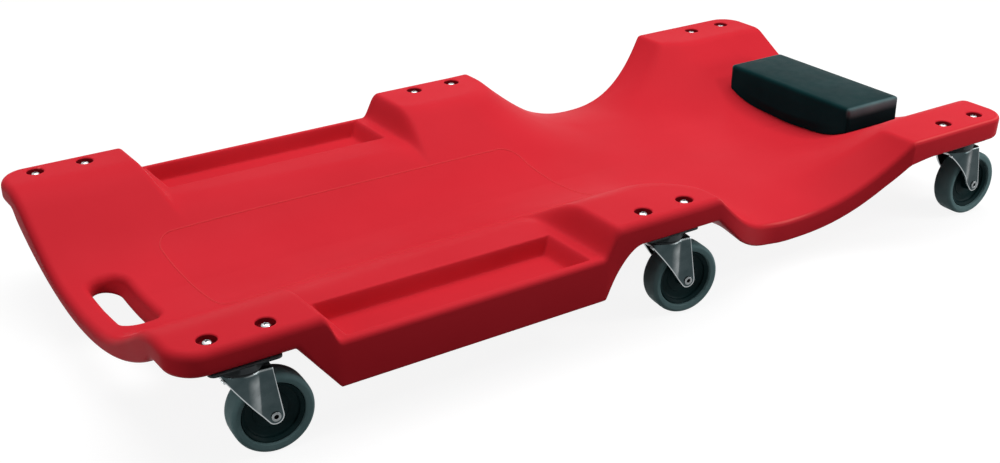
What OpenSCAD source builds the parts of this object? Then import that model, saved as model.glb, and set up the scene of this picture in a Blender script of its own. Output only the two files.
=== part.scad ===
// Mechanic creeper: a hollow moulded deck on six swivel casters, with a padded headrest.
// Millimetres. X runs from the foot end to the head end, Y across, Z up from the floor.
// The origin is on the floor under the middle of the deck.

/* [Deck outline] */
// Length of the deck
deck_l = 1029; // [960:1:1120]
// Width across the foot wings and the mid wings
deck_w = 474; // [450:1:500]
// Width across the head wings
head_w = 482; // [460:1:510]
// Width across the waist, between the two arm cut-outs
waist_w = 415; // [380:1:440]
// Height of the wing tops above the floor
wing_z = 120; // [112:1:128]
// Radius of the deck's corners, seen from above
corner_r = 30; // [20:1:40]
// Radius of the top edges
edge_r = 6; // [3:0.5:8]
// Radius of the bottom edges
under_r = 4; // [2:0.5:6]

/* [Deck along its length, from the foot end] */
// Length of the foot wings
foot_wing_l = 135; // [120:1:150]
// Length of the step from a foot wing down to the tray rail
foot_step_l = 17; // [12:1:24]
// Where the tray rail steps up to the mid wings
mid_wing_from = 438; // [420:1:460]
// Length of that step
mid_step_l = 18; // [12:1:26]
// Where the mid wings end
mid_wing_to = 585; // [560:1:610]
// Lowest place of the waist
waist_at = 722; // [700:1:740]
// Where the head wings start
head_wing_from = 867; // [850:1:885]

/* [Deck heights and skins] */
// Depth of the lying surface below the wing tops, at the foot end
foot_dip = 62; // [50:1:66]
// Depth of the lying surface below the wing tops, at the head end
head_dip = 57; // [50:1:66]
// How much deeper the lying surface is under the headrest
headrest_sink = 4.5; // [0:0.5:6]
// Depth of the tray rails below the wing tops
rail_drop = 28; // [20:1:36]
// Depth of the waist's rim below the wing tops
waist_drop = 69; // [60:1:76]
// Thickness of the hollow deck, outer face to outer face
deck_t = 22; // [18:0.5:26]
// Thickness of a caster wing
wing_t = 25.5; // [22:0.5:30]
// Wall thickness of the moulding
wall_t = 4; // [3:0.25:5]

/* [Lying surface] */
// Distance from the centre line to where the sides start to rise, at the foot end
rise_foot_y = 72; // [60:1:84]
// The same distance between the trays
rise_mid_y = 65; // [55:1:76]
// The same distance at the head end
rise_head_y = 77; // [70:1:92]
// Half length of the curve at the bottom of the rise
rise_curve = 37; // [25:1:50]
// Steepness of the rise, as height over width
rise_share = 0.63; // [0.55:0.01:0.7]

/* [Tool trays] */
// Distance from the centre line to a tray's inner wall
tray_in_y = 161.5; // [155:0.5:168]
// Width of the rail outside a tray
rail_w = 9; // [7:0.5:12]
// Depth of a tray below its rail
tray_depth = 18.5; // [14:0.5:20]
// Draft of a tray's long walls, from top to bottom
tray_draft = 5; // [2:0.5:6]
// Where a tray starts, from the foot end
tray_from = 160; // [156:1:170]
// Length of the slope at each end of a tray
tray_slope = 12; // [8:1:20]
// Where a tray ends, from the foot end
tray_to = 426; // [410:1:432]
// Height of the tray boxes' underside above the floor
pod_z = 47.5; // [42:0.5:54]
// Length of the underside slope at the foot end of the tray boxes
pod_foot_l = 41; // [30:1:50]
// Length of the underside curve at the head end of the tray boxes
pod_head_l = 49; // [40:1:60]

/* [Hand slot] */
// Length of the hand slot, across the deck
slot_l = 106; // [96:1:120]
// Width of the hand slot
slot_w = 36; // [30:1:40]
// Corner radius of the hand slot
slot_r = 15; // [10:1:17]
// Rounding of the slot's upper rim
slot_rim_r = 8; // [4:0.5:10]
// Width of the grip bar between the slot and the foot end
grip_w = 26; // [22:1:34]

/* [Headrest] */
// Length of the headrest, along the deck
pad_l = 88; // [76:1:96]
// Width of the headrest, across the deck
pad_w = 206; // [190:1:220]
// Height of the headrest's top above the floor
pad_z = 109; // [104:0.5:114]
// Distance from the head end to the headrest
pad_in = 30.5; // [26:0.5:40]
// Radius of the headrest's corners, seen from above
pad_corner_r = 5; // [4:1:12]
// Rounding of the headrest's edges
pad_r = 5; // [4:0.5:8]
// How far the top swells above its edges
pad_crown = 1.5; // [1:0.5:5]
// How far the sides draw in at half height
pad_waist = 1.5; // [0.5:0.25:3]
// Thickness of the board inside the headrest
board_t = 6; // [4:0.5:8]
// Distance of the board's edges inside the headrest's edges
board_in = 9; // [6:0.5:14]

/* [Casters] */
// Wheel diameter
wheel_d = 76; // [70:0.5:78]
// Tyre width
tyre_w = 25; // [22:0.5:26]
// Tyre thickness, from the hub to the tread
tyre_t = 9; // [6:0.5:11]
// Trail of the axle behind the kingpin
trail = 24; // [18:0.5:28]
// Distance from the foot end to the foot casters' kingpins
foot_caster_at = 64.5; // [60:0.5:72]
// Distance from the foot end to the mid casters' kingpins
mid_caster_at = 526; // [520:0.5:534]
// Distance from the head end to the head casters' kingpins
head_caster_in = 61; // [56:0.5:72]
// Distance from the centre line to every kingpin
caster_y = 216; // [212:0.5:219]
// Angle of the foot casters, away from straight trail
foot_swivel = 6; // [-20:1:20]
// Angle of the mid casters
mid_swivel = 8; // [-20:1:20]
// Angle of the head casters
head_swivel = 2; // [-20:1:20]
// Thickness of the mounting plate
plate_t = 2; // [1.5:0.25:2.5]
// Length of the mounting plate
plate_l = 67; // [64:0.5:72]
// Width of the mounting plate
plate_w = 38; // [34:0.5:40]
// Thickness of the fork's steel
fork_t = 2; // [1.5:0.25:2.5]
// Inner width of the fork
fork_gap = 27; // [26.5:0.1:28]
// Diameter of the axle rivet
axle_d = 8; // [7:0.25:9]
// Diameter of the kingpin
pin_d = 10; // [8:0.5:11]
// Diameter of the race balls
ball_d = 4.8; // [4:0.2:5]
// Number of balls in a race
balls = 14; // [8:1:15]

/* [Screws] */
// Distance between the two screws of a wing
screw_pitch = 53; // [52:0.5:54]
// Thread diameter of the caster screws
screw_d = 5; // [4.5:0.5:6]
// Diameter of a screw's head
screw_head_d = 9.5; // [9:0.5:11]
// Diameter of the recess that a screw's head sits in
well_d = 18; // [16:0.5:20]
// Depth of that recess
well_depth = 6; // [5:0.5:8]
// Height of the nuts under the plates
nut_h = 4.2; // [4:0.2:4.8]
// Size of the nuts across their flats
nut_flats = 8; // [7.75:0.25:9.5]

/* [Hidden] */
CORNERS = ["foot_left", "foot_right", "mid_left", "mid_right", "head_left", "head_right"];
SWIVEL_PARTS = ["fork", "axle", "race_balls"];
WHEEL_PARTS = ["hub", "tyre", "bush"];

$fn = 64;
cut_over = 1;
fit_gap = 0.05;
rest_gap = 0.3;

// Deck sizes that follow from the driving ones
deck_half = deck_w / 2;
head_half = head_w / 2;
waist_half = waist_w / 2;
foot_z = wing_z - foot_dip;
head_z = wing_z - head_dip;
rail_z = wing_z - rail_drop;
wing_under_z = wing_z - wing_t;
tray_out_y = deck_half - rail_w;
caster_x = [foot_caster_at, mid_caster_at, deck_l - head_caster_in] - deck_l / 2 * [1, 1, 1];
swivels = [foot_swivel, mid_swivel, head_swivel];
slot_x = grip_w + slot_w / 2 - deck_l / 2;
pod_start = foot_wing_l + foot_step_l - pod_foot_l;
pod_end = mid_wing_from + pod_head_l;

// Shares and powers that shape the deck
wing_crest = edge_r * 3 / 2;
foot_crest = edge_r * 5 / 2;
head_crest = edge_r * 3 / 4;
waist_in_power = 2.2;
waist_out_power = 2.45;
waist_taper_share = 0.83;
waist_roll_share = 0.22;
side_draft_share = 0.07;
fade_before_share = 0.12;
fade_after_share = 0.09;
fade_in_share = 0.8;
fade_hold_share = 0.15;

// Smooth steps between two levels
function within(t) = min(1, max(0, t));
function ease(t) = let (c = within(t)) c * c * (3 - 2 * c);
function mix(a, b, t) = a + (b - a) * t;
function rise(s, from, length) = (s - from) / length;
function soft_min(a, b, m) = let (h = max(m - abs(a - b), 0) / m) min(a, b) - h * h * m / 4;
function quarter(r, d) = d >= r ? 0 : r - sqrt(max(0, r * r - (r - d) * (r - d)));

// Lists of places: evenly spread, put in order, and without near repeats
function spread(from, to, n) = [for (i = [1:n]) from + (to - from) * i / n];
function sorted(v) = len(v) < 2 ? v
    : let (p = v[floor(len(v) / 2)])
        concat(sorted([for (x = v) if (x < p) x]), [p], sorted([for (x = v) if (x > p) x]));
function spaced(v, step) = [for (i = [0:len(v) - 1])
    if (i == 0 || i == len(v) - 1 || (v[i] - v[i - 1] > step && v[len(v) - 1] - v[i] > step))
        v[i]];

// How far the deck has gone down to the tray rails at s, from 0 to 1
function rail_share(s) = min(ease(rise(s, foot_wing_l, foot_step_l)),
    1 - ease(rise(s, mid_wing_from, mid_step_l)));

// How far the deck has gone down to the waist at s, from 0 to 1
function waist_share(s) = s < waist_at
    ? 1 - pow(1 - within(rise(s, mid_wing_to, waist_at - mid_wing_to)), waist_in_power)
    : 1 - pow(within(rise(s, waist_at, head_wing_from - waist_at)), waist_out_power);

// How far the side slopes of the lying surface have flattened out at s, from 0 to 1
function fade_share(s) =
    let (start = mid_wing_to - fade_before_share * (deck_l - mid_wing_to))
    let (end = head_wing_from + fade_after_share * (deck_l - mid_wing_to))
    let (again = mix(waist_at, end, fade_hold_share))
    s < waist_at ? ease(rise(s, start, (waist_at - start) * fade_in_share))
        : 1 - ease(rise(s, again, end - again));

// Half width of the deck before its corners are rounded
function straight_half(s) = s < waist_at
    ? mix(deck_half, waist_half, ease(rise(s, mid_wing_to,
        (waist_at - mid_wing_to) * waist_taper_share)))
    : mix(waist_half, head_half, pow(within(rise(s, waist_at, head_wing_from - waist_at)), 2));

// Half width of the deck at s, with its rounded corners
function half_w(s) = straight_half(s) - quarter(corner_r, min(s, deck_l - s));

// Distance from a place on the deck to its outline
function to_edge(s, y) =
    let (e = min(s, deck_l - s), w = straight_half(s))
    let (cs = corner_r - e, cy = y - (w - corner_r))
    max(0, cs > 0 && cy > 0 ? corner_r - sqrt(cs * cs + cy * cy) : min(e, w - y));

// Height of the rim that caps the lying surface
function rim_z(s, y) = wing_z - rail_drop * rail_share(s)
    - waist_share(s) * (waist_drop - waist_roll_share * (straight_half(s) - y));

// Height of the lying surface before the rim caps it
function lying_z(s, y) =
    let (foot_t = ease(rise(s, foot_wing_l / 2, tray_from)))
    let (head_t = ease(rise(s, mid_wing_to, head_wing_from - mid_wing_to)))
    let (y0 = mix(mix(rise_foot_y, rise_mid_y, foot_t), rise_head_y, head_t))
    let (bottom = mix(foot_z, head_z, ease(rise(s, 0, mid_wing_to)))
        - headrest_sink * ease(rise(s, waist_at, head_wing_from - waist_at)))
    let (slope = rise_share * (1 - fade_share(s)))
    bottom + slope * (ramp(y - y0) - ramp(-y0));
function ramp(t) = (t + sqrt(t * t + rise_curve * rise_curve)) / 2;

// Height of the top skin without the trays and the rounded edges
function skin_z(s, y) = soft_min(lying_z(s, y), rim_z(s, y), crest_r(s));

// Softness of the crest between the lying surface and the rim
function crest_r(s) = mix(
    mix(foot_crest, wing_crest, ease(rise(s, foot_wing_l, mid_wing_from - foot_wing_l))),
    head_crest, ease(rise(s, waist_at, head_wing_from - waist_at)));

// Depth of the trays at a place, for a tray grown by g on every side
function tray_dip(s, y, g) = tray_depth * max(0, min(1,
    rise(y, tray_in_y - g, tray_draft),
    1 - rise(y, tray_out_y + g - tray_draft, tray_draft),
    rise(s, tray_from - g, tray_slope),
    1 - rise(s, tray_to + g - tray_slope, tray_slope)));

// Height of the underside of the tray boxes, which reach up to the wings at both ends
function pod_under_z(s) = s < mid_wing_from
    ? mix(wing_under_z, pod_z, within(rise(s, pod_start, pod_foot_l)))
    : mix(wing_under_z, pod_z, pow(1 - within(rise(s, mid_wing_from, pod_head_l)), 2));

// Height of the underside of the deck
function under_z(s, y) =
    let (z = skin_z(s, y))
    min(z - mix(deck_t, wing_t, within((z - rail_z) / (wing_z - rail_z))), pod_under_z(s));

// Heights with the rounded edges taken off
function top_z(s, y) = skin_z(s, y) - tray_dip(s, y, 0) - quarter(edge_r, to_edge(s, y));
function bottom_z(s, y) = under_z(s, y) + quarter(under_r, to_edge(s, y));

// Stations along the deck: close together where it bends, wider where it runs straight
corner_steps = 8;
corner_stations = [for (i = [0:corner_steps]) corner_r * (1 - cos(90 * i / corner_steps))];
stations = spaced(sorted(concat(
    corner_stations,
    spread(corner_r, pod_start, 4),
    spread(pod_start, foot_wing_l, 2),
    spread(foot_wing_l, foot_wing_l + foot_step_l, 4),
    [tray_from, tray_from + tray_slope],
    spread(tray_from + tray_slope, tray_to - tray_slope, 8),
    [tray_to, mid_wing_from],
    spread(mid_wing_from, mid_wing_from + mid_step_l, 4),
    spread(mid_wing_from + mid_step_l, pod_end, 3),
    spread(pod_end, mid_wing_to, 5),
    spread(mid_wing_to, waist_at, 10),
    spread(waist_at, head_wing_from, 10),
    spread(head_wing_from, deck_l - corner_r, 6),
    [for (e = corner_stations) deck_l - e])), rest_gap);

// Places across half the deck, given at the full width and drawn in with the outline
tray_steps = 9;
top_rows = concat(
    [for (i = [0:tray_steps]) tray_in_y * i / tray_steps],
    [tray_in_y + tray_draft, (tray_in_y + tray_out_y) / 2],
    [tray_out_y - tray_draft, tray_out_y]);
edge_steps = 3;
edge_rows = [for (i = [0:edge_steps]) edge_r * (1 - sin(90 * i / edge_steps))];
under_steps = 2;
under_rows = [for (i = [0:under_steps]) under_r * (1 - cos(90 * i / under_steps))];
under_cols = 6;
deck_top_n = len(top_rows) + len(edge_rows);

// Half of the deck's outline at s: over the top from the middle to the side, then back
// under it
function row_scale(s) = (half_w(s) - edge_r) / (deck_half - edge_r);
function half_ring(s) =
    let (w = half_w(s), scale_y = row_scale(s))
    let (low = w - side_draft_share * (top_z(s, w) - bottom_z(s, w)))
    concat(
        [for (y = top_rows) [y * scale_y, top_z(s, y * scale_y)]],
        [for (d = edge_rows) [w - d, top_z(s, w - d)]],
        [for (d = under_rows) [low - d, bottom_z(s, w - d)]],
        [for (i = [1:under_cols - 1])
            let (y = (low - under_r) * (1 - i / under_cols)) [y, bottom_z(s, y)]]);

// A whole ring: from the left side's last point over the top to the right side's, and then
// the middle of the bottom
function whole_ring(half, x, bottom) = concat(
    [for (i = [len(half) - 1:-1:0]) [x, -half[i][0], half[i][1]]],
    [for (i = [1:len(half) - 1]) [x, half[i][0], half[i][1]]],
    [[x, 0, bottom]]);
deck_rings = [for (s = stations) whole_ring(half_ring(s), s - deck_l / 2, bottom_z(s, 0))];

// Skins a row of rings of equal length, with the faces of both end caps given
function flipped(faces) = [for (f = faces) [f[2], f[1], f[0]]];
module skin_over(rings, cap) {
    n = len(rings[0]);
    last = len(rings) - 1;
    polyhedron(
        points = [for (r = rings, p = r) p],
        faces = concat(
            [for (i = [0:last - 1], j = [0:n - 1])
                [i * n + j, i * n + (j + 1) % n, (i + 1) * n + j]],
            [for (i = [0:last - 1], j = [0:n - 1])
                [i * n + (j + 1) % n, (i + 1) * n + (j + 1) % n, (i + 1) * n + j]],
            flipped(cap[0]),
            [for (f = cap[1]) [for (k = f) k + last * n]]));
}

// An end cap between the top line and the bottom line of a ring, zipped from the middle
// out to each side. The first top_n points of a half are its top.
function zipped(ring, top, low, i, j) =
    i == len(top) - 1 && j == len(low) - 1 ? []
    : j == len(low) - 1 || (i < len(top) - 1
        && abs(ring[top[i + 1]][1]) <= abs(ring[low[j + 1]][1]))
        ? concat([[top[i], top[i + 1], low[j]]], zipped(ring, top, low, i + 1, j))
        : concat([[top[i], low[j + 1], low[j]]], zipped(ring, top, low, i, j + 1));
function side_cap(ring, top_n, side) =
    let (mid = len(ring) / 2 - 1)
    zipped(ring, [for (h = [0:top_n - 1]) mid + side * h],
        concat([len(ring) - 1], [for (h = [mid:-1:top_n]) mid + side * h]), 0, 0);
function end_cap(ring, top_n) =
    concat(side_cap(ring, top_n, 1), flipped(side_cap(ring, top_n, -1)));
module loft(rings, top_n) {
    skin_over(rings, [end_cap(rings[0], top_n), end_cap(rings[len(rings) - 1], top_n)]);
}

// The hollow inside the moulding, one wall inside the outer skins
hollow_in = edge_r + wall_t;
hollow_cols = 9;
function inner_top(s, y) = min([for (d = [-1:1]) skin_z(s + d * wall_t, y)])
    - tray_dip(s, y, wall_t) - wall_t;
function inner_low(s, y) = min(inner_top(s, y) - wall_t / 2,
    max([for (d = [-1:1]) under_z(s + d * wall_t, y)]) + wall_t);
function hollow_half(s) =
    let (w = half_w(s) - hollow_in)
    let (inner = min(w - hollow_in, (tray_in_y - wall_t) * w / (deck_half - hollow_in)))
    let (ys = concat([for (i = [0:hollow_cols]) inner * i / hollow_cols],
        [inner + tray_draft, w]))
    concat(
        [for (y = ys) [y, inner_top(s, y)]],
        [for (i = [len(ys) - 1:-1:1]) [ys[i], inner_low(s, ys[i])]]);
hollow_stations = spaced(sorted(concat(
    [hollow_in, corner_r],
    spread(corner_r, pod_start, 2),
    spread(foot_wing_l - wall_t, foot_wing_l + foot_step_l - wall_t, 3),
    [tray_from - wall_t, tray_from + tray_slope - wall_t],
    spread(tray_from + tray_slope, tray_to - tray_slope, 4),
    [tray_to + wall_t],
    spread(mid_wing_from + wall_t, mid_wing_from + mid_step_l + wall_t, 3),
    spread(mid_wing_from + mid_step_l + wall_t, mid_wing_to, 4),
    spread(mid_wing_to, waist_at, 7),
    spread(waist_at, head_wing_from, 7),
    spread(head_wing_from, deck_l - corner_r, 3),
    [deck_l - hollow_in])), wall_t / 2);
module hollow() {
    difference() {
        loft([for (s = hollow_stations)
            whole_ring(hollow_half(s), s - deck_l / 2, inner_low(s, 0))], hollow_cols + 3);
        skin_over(slot_rings(slot_rim_r), [slot_cap, slot_cap]);
        for (i = [0:5]) at_corner(i) at_screws() cylinder(h = wing_z, d = well_d + 2 * wall_t);
        at_headrest_screws() cylinder(h = wing_z, d = pad_screw_head_d + 2 * wall_t);
    }
}

// The hand slot, grown by g: from below the deck up to above it, with rounded rims
slot_steps = 6;
slot_turns = [for (corner = [0:3], i = [0:slot_steps]) [corner, 90 * (corner + i / slot_steps)]];
slot_n = len(slot_turns);
slot_cap = [for (j = [1:slot_n - 2]) [0, j, j + 1]];
slot_low_r = slot_rim_r / 2;
rim_steps = 4;
rim_turns = [for (i = [0:rim_steps]) 75 * i / rim_steps];
function slot_spot(k, g) =
    let (corner = slot_turns[slot_n - 1 - k][0], turn = slot_turns[slot_n - 1 - k][1])
    [slot_x + (corner == 0 || corner == 3 ? 1 : -1) * (slot_w / 2 - slot_r)
            + (slot_r + g) * cos(turn),
        (corner < 2 ? 1 : -1) * (slot_l / 2 - slot_r) + (slot_r + g) * sin(turn)];
function slot_ring(g, height) = [for (k = [0:slot_n - 1])
    let (p = slot_spot(k, g)) [p[0], p[1], height(p[0] + deck_l / 2, abs(p[1]))]];
function slot_rings(g) = [
    slot_ring(g, function (s, y) 0),
    slot_ring(g, function (s, y) wing_z)];
slot_cut_rings = concat(
    [slot_ring(slot_low_r, function (s, y) 0)],
    [for (i = [rim_steps:-1:0]) slot_ring(slot_low_r * (1 - cos(rim_turns[i])),
        function (s, y) under_z(s, y) + slot_low_r * (1 - sin(rim_turns[i])))],
    [for (t = rim_turns) slot_ring(slot_rim_r * (1 - cos(t)),
        function (s, y) skin_z(s, y) - slot_rim_r * (1 - sin(t)))],
    [slot_ring(slot_rim_r, function (s, y) wing_z)]);

module deck() {
    color([0.83, 0.17, 0.21])
    difference() {
        loft(deck_rings, deck_top_n);
        hollow();
        skin_over(slot_cut_rings, [slot_cap, slot_cap]);
        for (i = [0:5]) at_corner(i) caster_seat();
        at_headrest_screws() {
            cylinder(h = wing_z, d = pad_screw_d + 2 * fit_gap);
            cylinder(h = pad_screw_z, d = pad_screw_head_d + 2 * cut_over);
        }
    }
}

// Goes to one of the six kingpins on the floor: foot, mid and head, each left then right
function side_of(i) = i % 2 == 0 ? -1 : 1;
function row_of(i) = floor(i / 2);
module at_corner(i) {
    translate([caster_x[row_of(i)], side_of(i) * caster_y, 0]) children();
}
module turned(i) {
    at_corner(i) rotate([0, 0, -swivels[row_of(i)]]) children();
}

// The two screws of a wing, on either side of its kingpin
module at_screws() {
    for (side = [-1, 1]) translate([side * screw_pitch / 2, 0, 0]) children();
}

// What a caster and its screws cut out of the wing
seat_depth = 0.5;
plate_top_z = wing_under_z + seat_depth;
plate_under_z = plate_top_z - plate_t;
module caster_seat() {
    translate([0, 0, plate_top_z - wing_t / 2])
        cube([plate_l + 2 * rest_gap, plate_w + 2 * rest_gap, wing_t], center = true);
    at_screws() {
        translate([0, 0, wing_z - well_depth]) cylinder(h = well_depth + cut_over, d = well_d);
        translate([0, 0, wing_under_z - cut_over])
            cylinder(h = wing_t, d = screw_d + 2 * fit_gap);
    }
}

// Caster screws in their recesses, each a pan head with a cross drive over a thread
screw_seat_z = wing_z - well_depth + fit_gap;
head_h_share = 0.46;
head_flat_share = 0.25;
drive_share = 0.55;
screw_head_h = screw_head_d * head_h_share;
head_steps = 6;
nut_low_z = plate_under_z - fit_gap - nut_h;
module caster_screws() {
    color([0.82, 0.83, 0.85])
    for (i = [0:5]) at_corner(i) at_screws() difference() {
        union() {
            translate([0, 0, screw_seat_z]) rotate_extrude()
                polygon(concat([[0, 0], [screw_head_d / 2, 0]],
                    [for (k = [0:head_steps]) let (t = 90 * k / head_steps)
                        [mix(screw_head_d / 2 * head_flat_share, screw_head_d / 2, cos(t)),
                            mix(screw_head_h / 3, screw_head_h, sin(t))]],
                    [[0, screw_head_h]]));
            translate([0, 0, nut_low_z])
                cylinder(h = screw_seat_z - nut_low_z + screw_head_h / 3, d = screw_d);
        }
        for (turn = [45, 135]) rotate([0, 0, turn])
            translate([0, 0, screw_seat_z + screw_head_h])
                cube([screw_head_d * drive_share, screw_head_d / 8, screw_head_h],
                    center = true);
    }
}
module caster_nuts() {
    color([0.62, 0.63, 0.65])
    for (i = [0:5]) at_corner(i) at_screws() translate([0, 0, nut_low_z])
        difference() {
            rotate([0, 0, 30]) cylinder(h = nut_h, d = nut_flats / cos(30), $fn = 6);
            translate([0, 0, -cut_over])
                cylinder(h = nut_h + 2 * cut_over, d = screw_d + 2 * fit_gap);
        }
}

// Headrest: a covered block that follows the deck, on a board held by two screws
pad_screw_d = 5;
pad_screw_head_d = 10;
pad_screw_head_h = 3;
pad_screw_share = 0.3;
pad_screw_y = pad_w * pad_screw_share;
pad_s = deck_l - pad_in - pad_l / 2;
pad_x = pad_s - deck_l / 2;
pad_screw_z = under_z(pad_s, pad_screw_y) + 2 * pad_screw_head_h;
deck_curve = [for (y = top_rows) [y * row_scale(pad_s), top_z(pad_s, y * row_scale(pad_s))]];
function seat_z(y) = lookup(abs(y), deck_curve) + rest_gap;
module at_headrest_screws() {
    for (side = [-1, 1]) translate([pad_x, side * pad_screw_y, 0]) children();
}
module headrest_screws() {
    color([0.6, 0.6, 0.62])
    at_headrest_screws() {
        translate([0, 0, pad_screw_z - fit_gap - pad_screw_head_h])
            cylinder(h = pad_screw_head_h, d = pad_screw_head_d);
        translate([0, 0, pad_screw_z - fit_gap - pad_screw_head_h])
            cylinder(h = seat_z(pad_screw_y) + board_t - rest_gap - pad_screw_z
                + pad_screw_head_h, d = pad_screw_d);
    }
}

// The board, bent to the deck's curve: g larger all round, and reaching down by drop
board_cols = 8;
function board_half(g, drop) =
    let (w = pad_w / 2 - board_in + g)
    let (ys = [for (i = [0:board_cols]) w * i / board_cols])
    concat(
        [for (y = ys) [y, seat_z(y) + board_t + g]],
        [for (i = [board_cols:-1:1]) [ys[i], seat_z(ys[i]) - drop]]);
module board_form(g, drop) {
    half_l = pad_l / 2 - board_in + g;
    loft([for (side = [-1, 1])
        whole_ring(board_half(g, drop), pad_x + side * half_l, seat_z(0) - drop)],
        board_cols + 1);
}
module headrest_board() {
    color([0.55, 0.42, 0.28])
    difference() {
        board_form(0, 0);
        at_headrest_screws() cylinder(h = pad_z, d = pad_screw_d + 2 * fit_gap);
    }
}

// The cushion: loops around it from the middle of its underside, up its sides, which draw
// in at half height, and over its edge to the middle of its crowned top
pad_turns = 4;
pad_cols = 12;
function pad_half_loop(d) =
    let (a = pad_l / 2 - d, b = pad_w / 2 - d)
    let (r = pad_corner_r * a / (pad_l / 2))
    concat(
        [[(a - r) / 2, b]],
        [for (i = [0:pad_turns]) let (t = 90 - 90 * i / pad_turns)
            [a - r + r * cos(t), b - r + r * sin(t)]],
        [for (i = [1:pad_cols - 1]) [a, (b - r) * (1 - 2 * i / pad_cols)]],
        [for (i = [0:pad_turns]) let (t = -90 * i / pad_turns)
            [a - r + r * cos(t), -(b - r) + r * sin(t)]],
        [[(a - r) / 2, -b]]);
function pad_loop(d, height) =
    let (half = pad_half_loop(d), n = len(half))
    [for (k = [0:2 * n - 1])
        let (p = k < n ? half[k] : half[2 * n - 1 - k])
        let (x = k < n ? p[0] : -p[0])
        [pad_x + x, p[1], height(x, p[1])]];
pad_half_n = len(pad_half_loop(0));
pad_last = 2 * pad_half_n - 1;
pad_cap = concat(
    [[0, 1, 2], [0, 2, pad_last - 2], [0, pad_last - 2, pad_last]],
    [[pad_last - 2, pad_last - 1, pad_last]],
    [for (k = [2:pad_half_n - 4]) [k, k + 1, pad_last - k - 1]],
    [for (k = [2:pad_half_n - 4]) [k, pad_last - k - 1, pad_last - k]],
    [for (f = [[-3, -2, -1], [-3, -1, 0], [-3, 0, 2], [0, 1, 2]])
        [for (k = f) pad_half_n + k]]);
pad_edge_z = pad_z - pad_crown - pad_r;
pad_insets = [for (share = [1, 3, 5, 7]) pad_l / 2 * share / 8];
edge_turns = [0, 30, 60, 90];
function crown_z(x, y) = pad_z - pad_crown
    + pad_crown * (1 - pow(2 * x / pad_l, 2)) * (1 - pow(2 * y / pad_w, 4));
module headrest_cushion() {
    color([0.1, 0.13, 0.14])
    difference() {
        skin_over(concat(
            [for (i = [3:-1:0]) pad_loop(pad_insets[i], function (x, y) seat_z(y))],
            [pad_loop(pad_waist / 2, function (x, y) seat_z(y))],
            [pad_loop(pad_waist, function (x, y) (pad_edge_z + seat_z(y)) / 2)],
            [for (t = edge_turns) pad_loop(pad_r * (1 - cos(t)),
                function (x, y) pad_edge_z + pad_r * sin(t))],
            [for (d = pad_insets) if (d > pad_r) pad_loop(d, function (x, y) crown_z(x, y))]),
            [pad_cap, pad_cap]);
        board_form(rest_gap, deck_t);
    }
}

// Caster levels from the plate down to the axle
race_r = 14.6;
skirt_r = 20.5;
skirt_t = 1.1;
race_top_r = 18.8;
race_z = plate_under_z - ball_d - 2 * fit_gap;
skirt_z = race_z + seat_depth;
web_z = race_z - fork_t;
pin_head_d = pin_d * 8 / 5;
pin_head_h = fork_t + seat_depth;
axle_z = wheel_d / 2;
plate_corner_r = 6;
module rounded_plate(l, w, r) {
    square([l - 2 * r, w], center = true);
    square([l, w - 2 * r], center = true);
    for (sx = [-1, 1], sy = [-1, 1]) translate([sx * (l / 2 - r), sy * (w / 2 - r)]) circle(r);
}

// Mounting plate with the skirt of its upper race
module caster_plate() {
    color([0.25, 0.27, 0.28])
    difference() {
        union() {
            translate([0, 0, plate_under_z])
                linear_extrude(plate_t) rounded_plate(plate_l, plate_w, plate_corner_r);
            translate([0, 0, skirt_z])
                cylinder(h = plate_under_z - skirt_z + plate_t / 2, r = skirt_r);
        }
        translate([0, 0, skirt_z - cut_over])
            cylinder(h = plate_under_z - skirt_z + cut_over, r = skirt_r - skirt_t);
        translate([0, 0, plate_under_z - cut_over])
            cylinder(h = plate_t + 2 * cut_over, d = pin_d + 2 * fit_gap);
        at_screws() translate([0, 0, plate_under_z - cut_over])
            cylinder(h = plate_t + 2 * cut_over, d = screw_d + 2 * fit_gap);
    }
}

// Rivet that the fork swivels on
module kingpin() {
    pin_low_z = web_z - fork_t - fit_gap;
    color([0.55, 0.56, 0.58]) {
        translate([0, 0, pin_low_z])
            cylinder(h = plate_top_z - pin_low_z, d = pin_d);
        translate([0, 0, pin_low_z - pin_head_h])
            cylinder(h = pin_head_h, d = pin_head_d);
    }
}

// Balls of the swivel race
module race_balls() {
    color([0.7, 0.71, 0.73])
    for (k = [0:balls - 1]) rotate([0, 0, 360 * k / balls])
        translate([race_r, 0, race_z + fit_gap + ball_d / 2]) sphere(d = ball_d);
}

// Fork: a round crown under the race that runs out into two flat ears. A slanted cut bounds
// it at the front, and the ears reach down and back to the axle.
fork_r = 19.5;
fork_back = 24.5;
fork_front_h = 0.8;
ear_r = 7.6;
ear_steps = 12;
module fork_plan(g) {
    half_y = fork_gap / 2 + fork_t - g;
    circle(fork_r - g);
    translate([0, -half_y]) square([wheel_d, 2 * half_y]);
}
function tangent_turn(p, side) =
    let (to = [trail, axle_z] - p)
    atan2(to[1], to[0]) + side * (90 + asin(ear_r / norm(to)));
module ear_outline() {
    front = [-fork_r - cut_over, web_z - fork_t + fork_front_h];
    back = [fork_back, web_z];
    from = tangent_turn(front, -1);
    to = tangent_turn(back, 1);
    polygon(concat(
        [front, [front[0], web_z + cut_over], [fork_back, web_z + cut_over], back],
        [for (k = [0:ear_steps]) let (t = mix(to, from, k / ear_steps))
            [trail + ear_r * cos(t), axle_z + ear_r * sin(t)]]));
}
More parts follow.
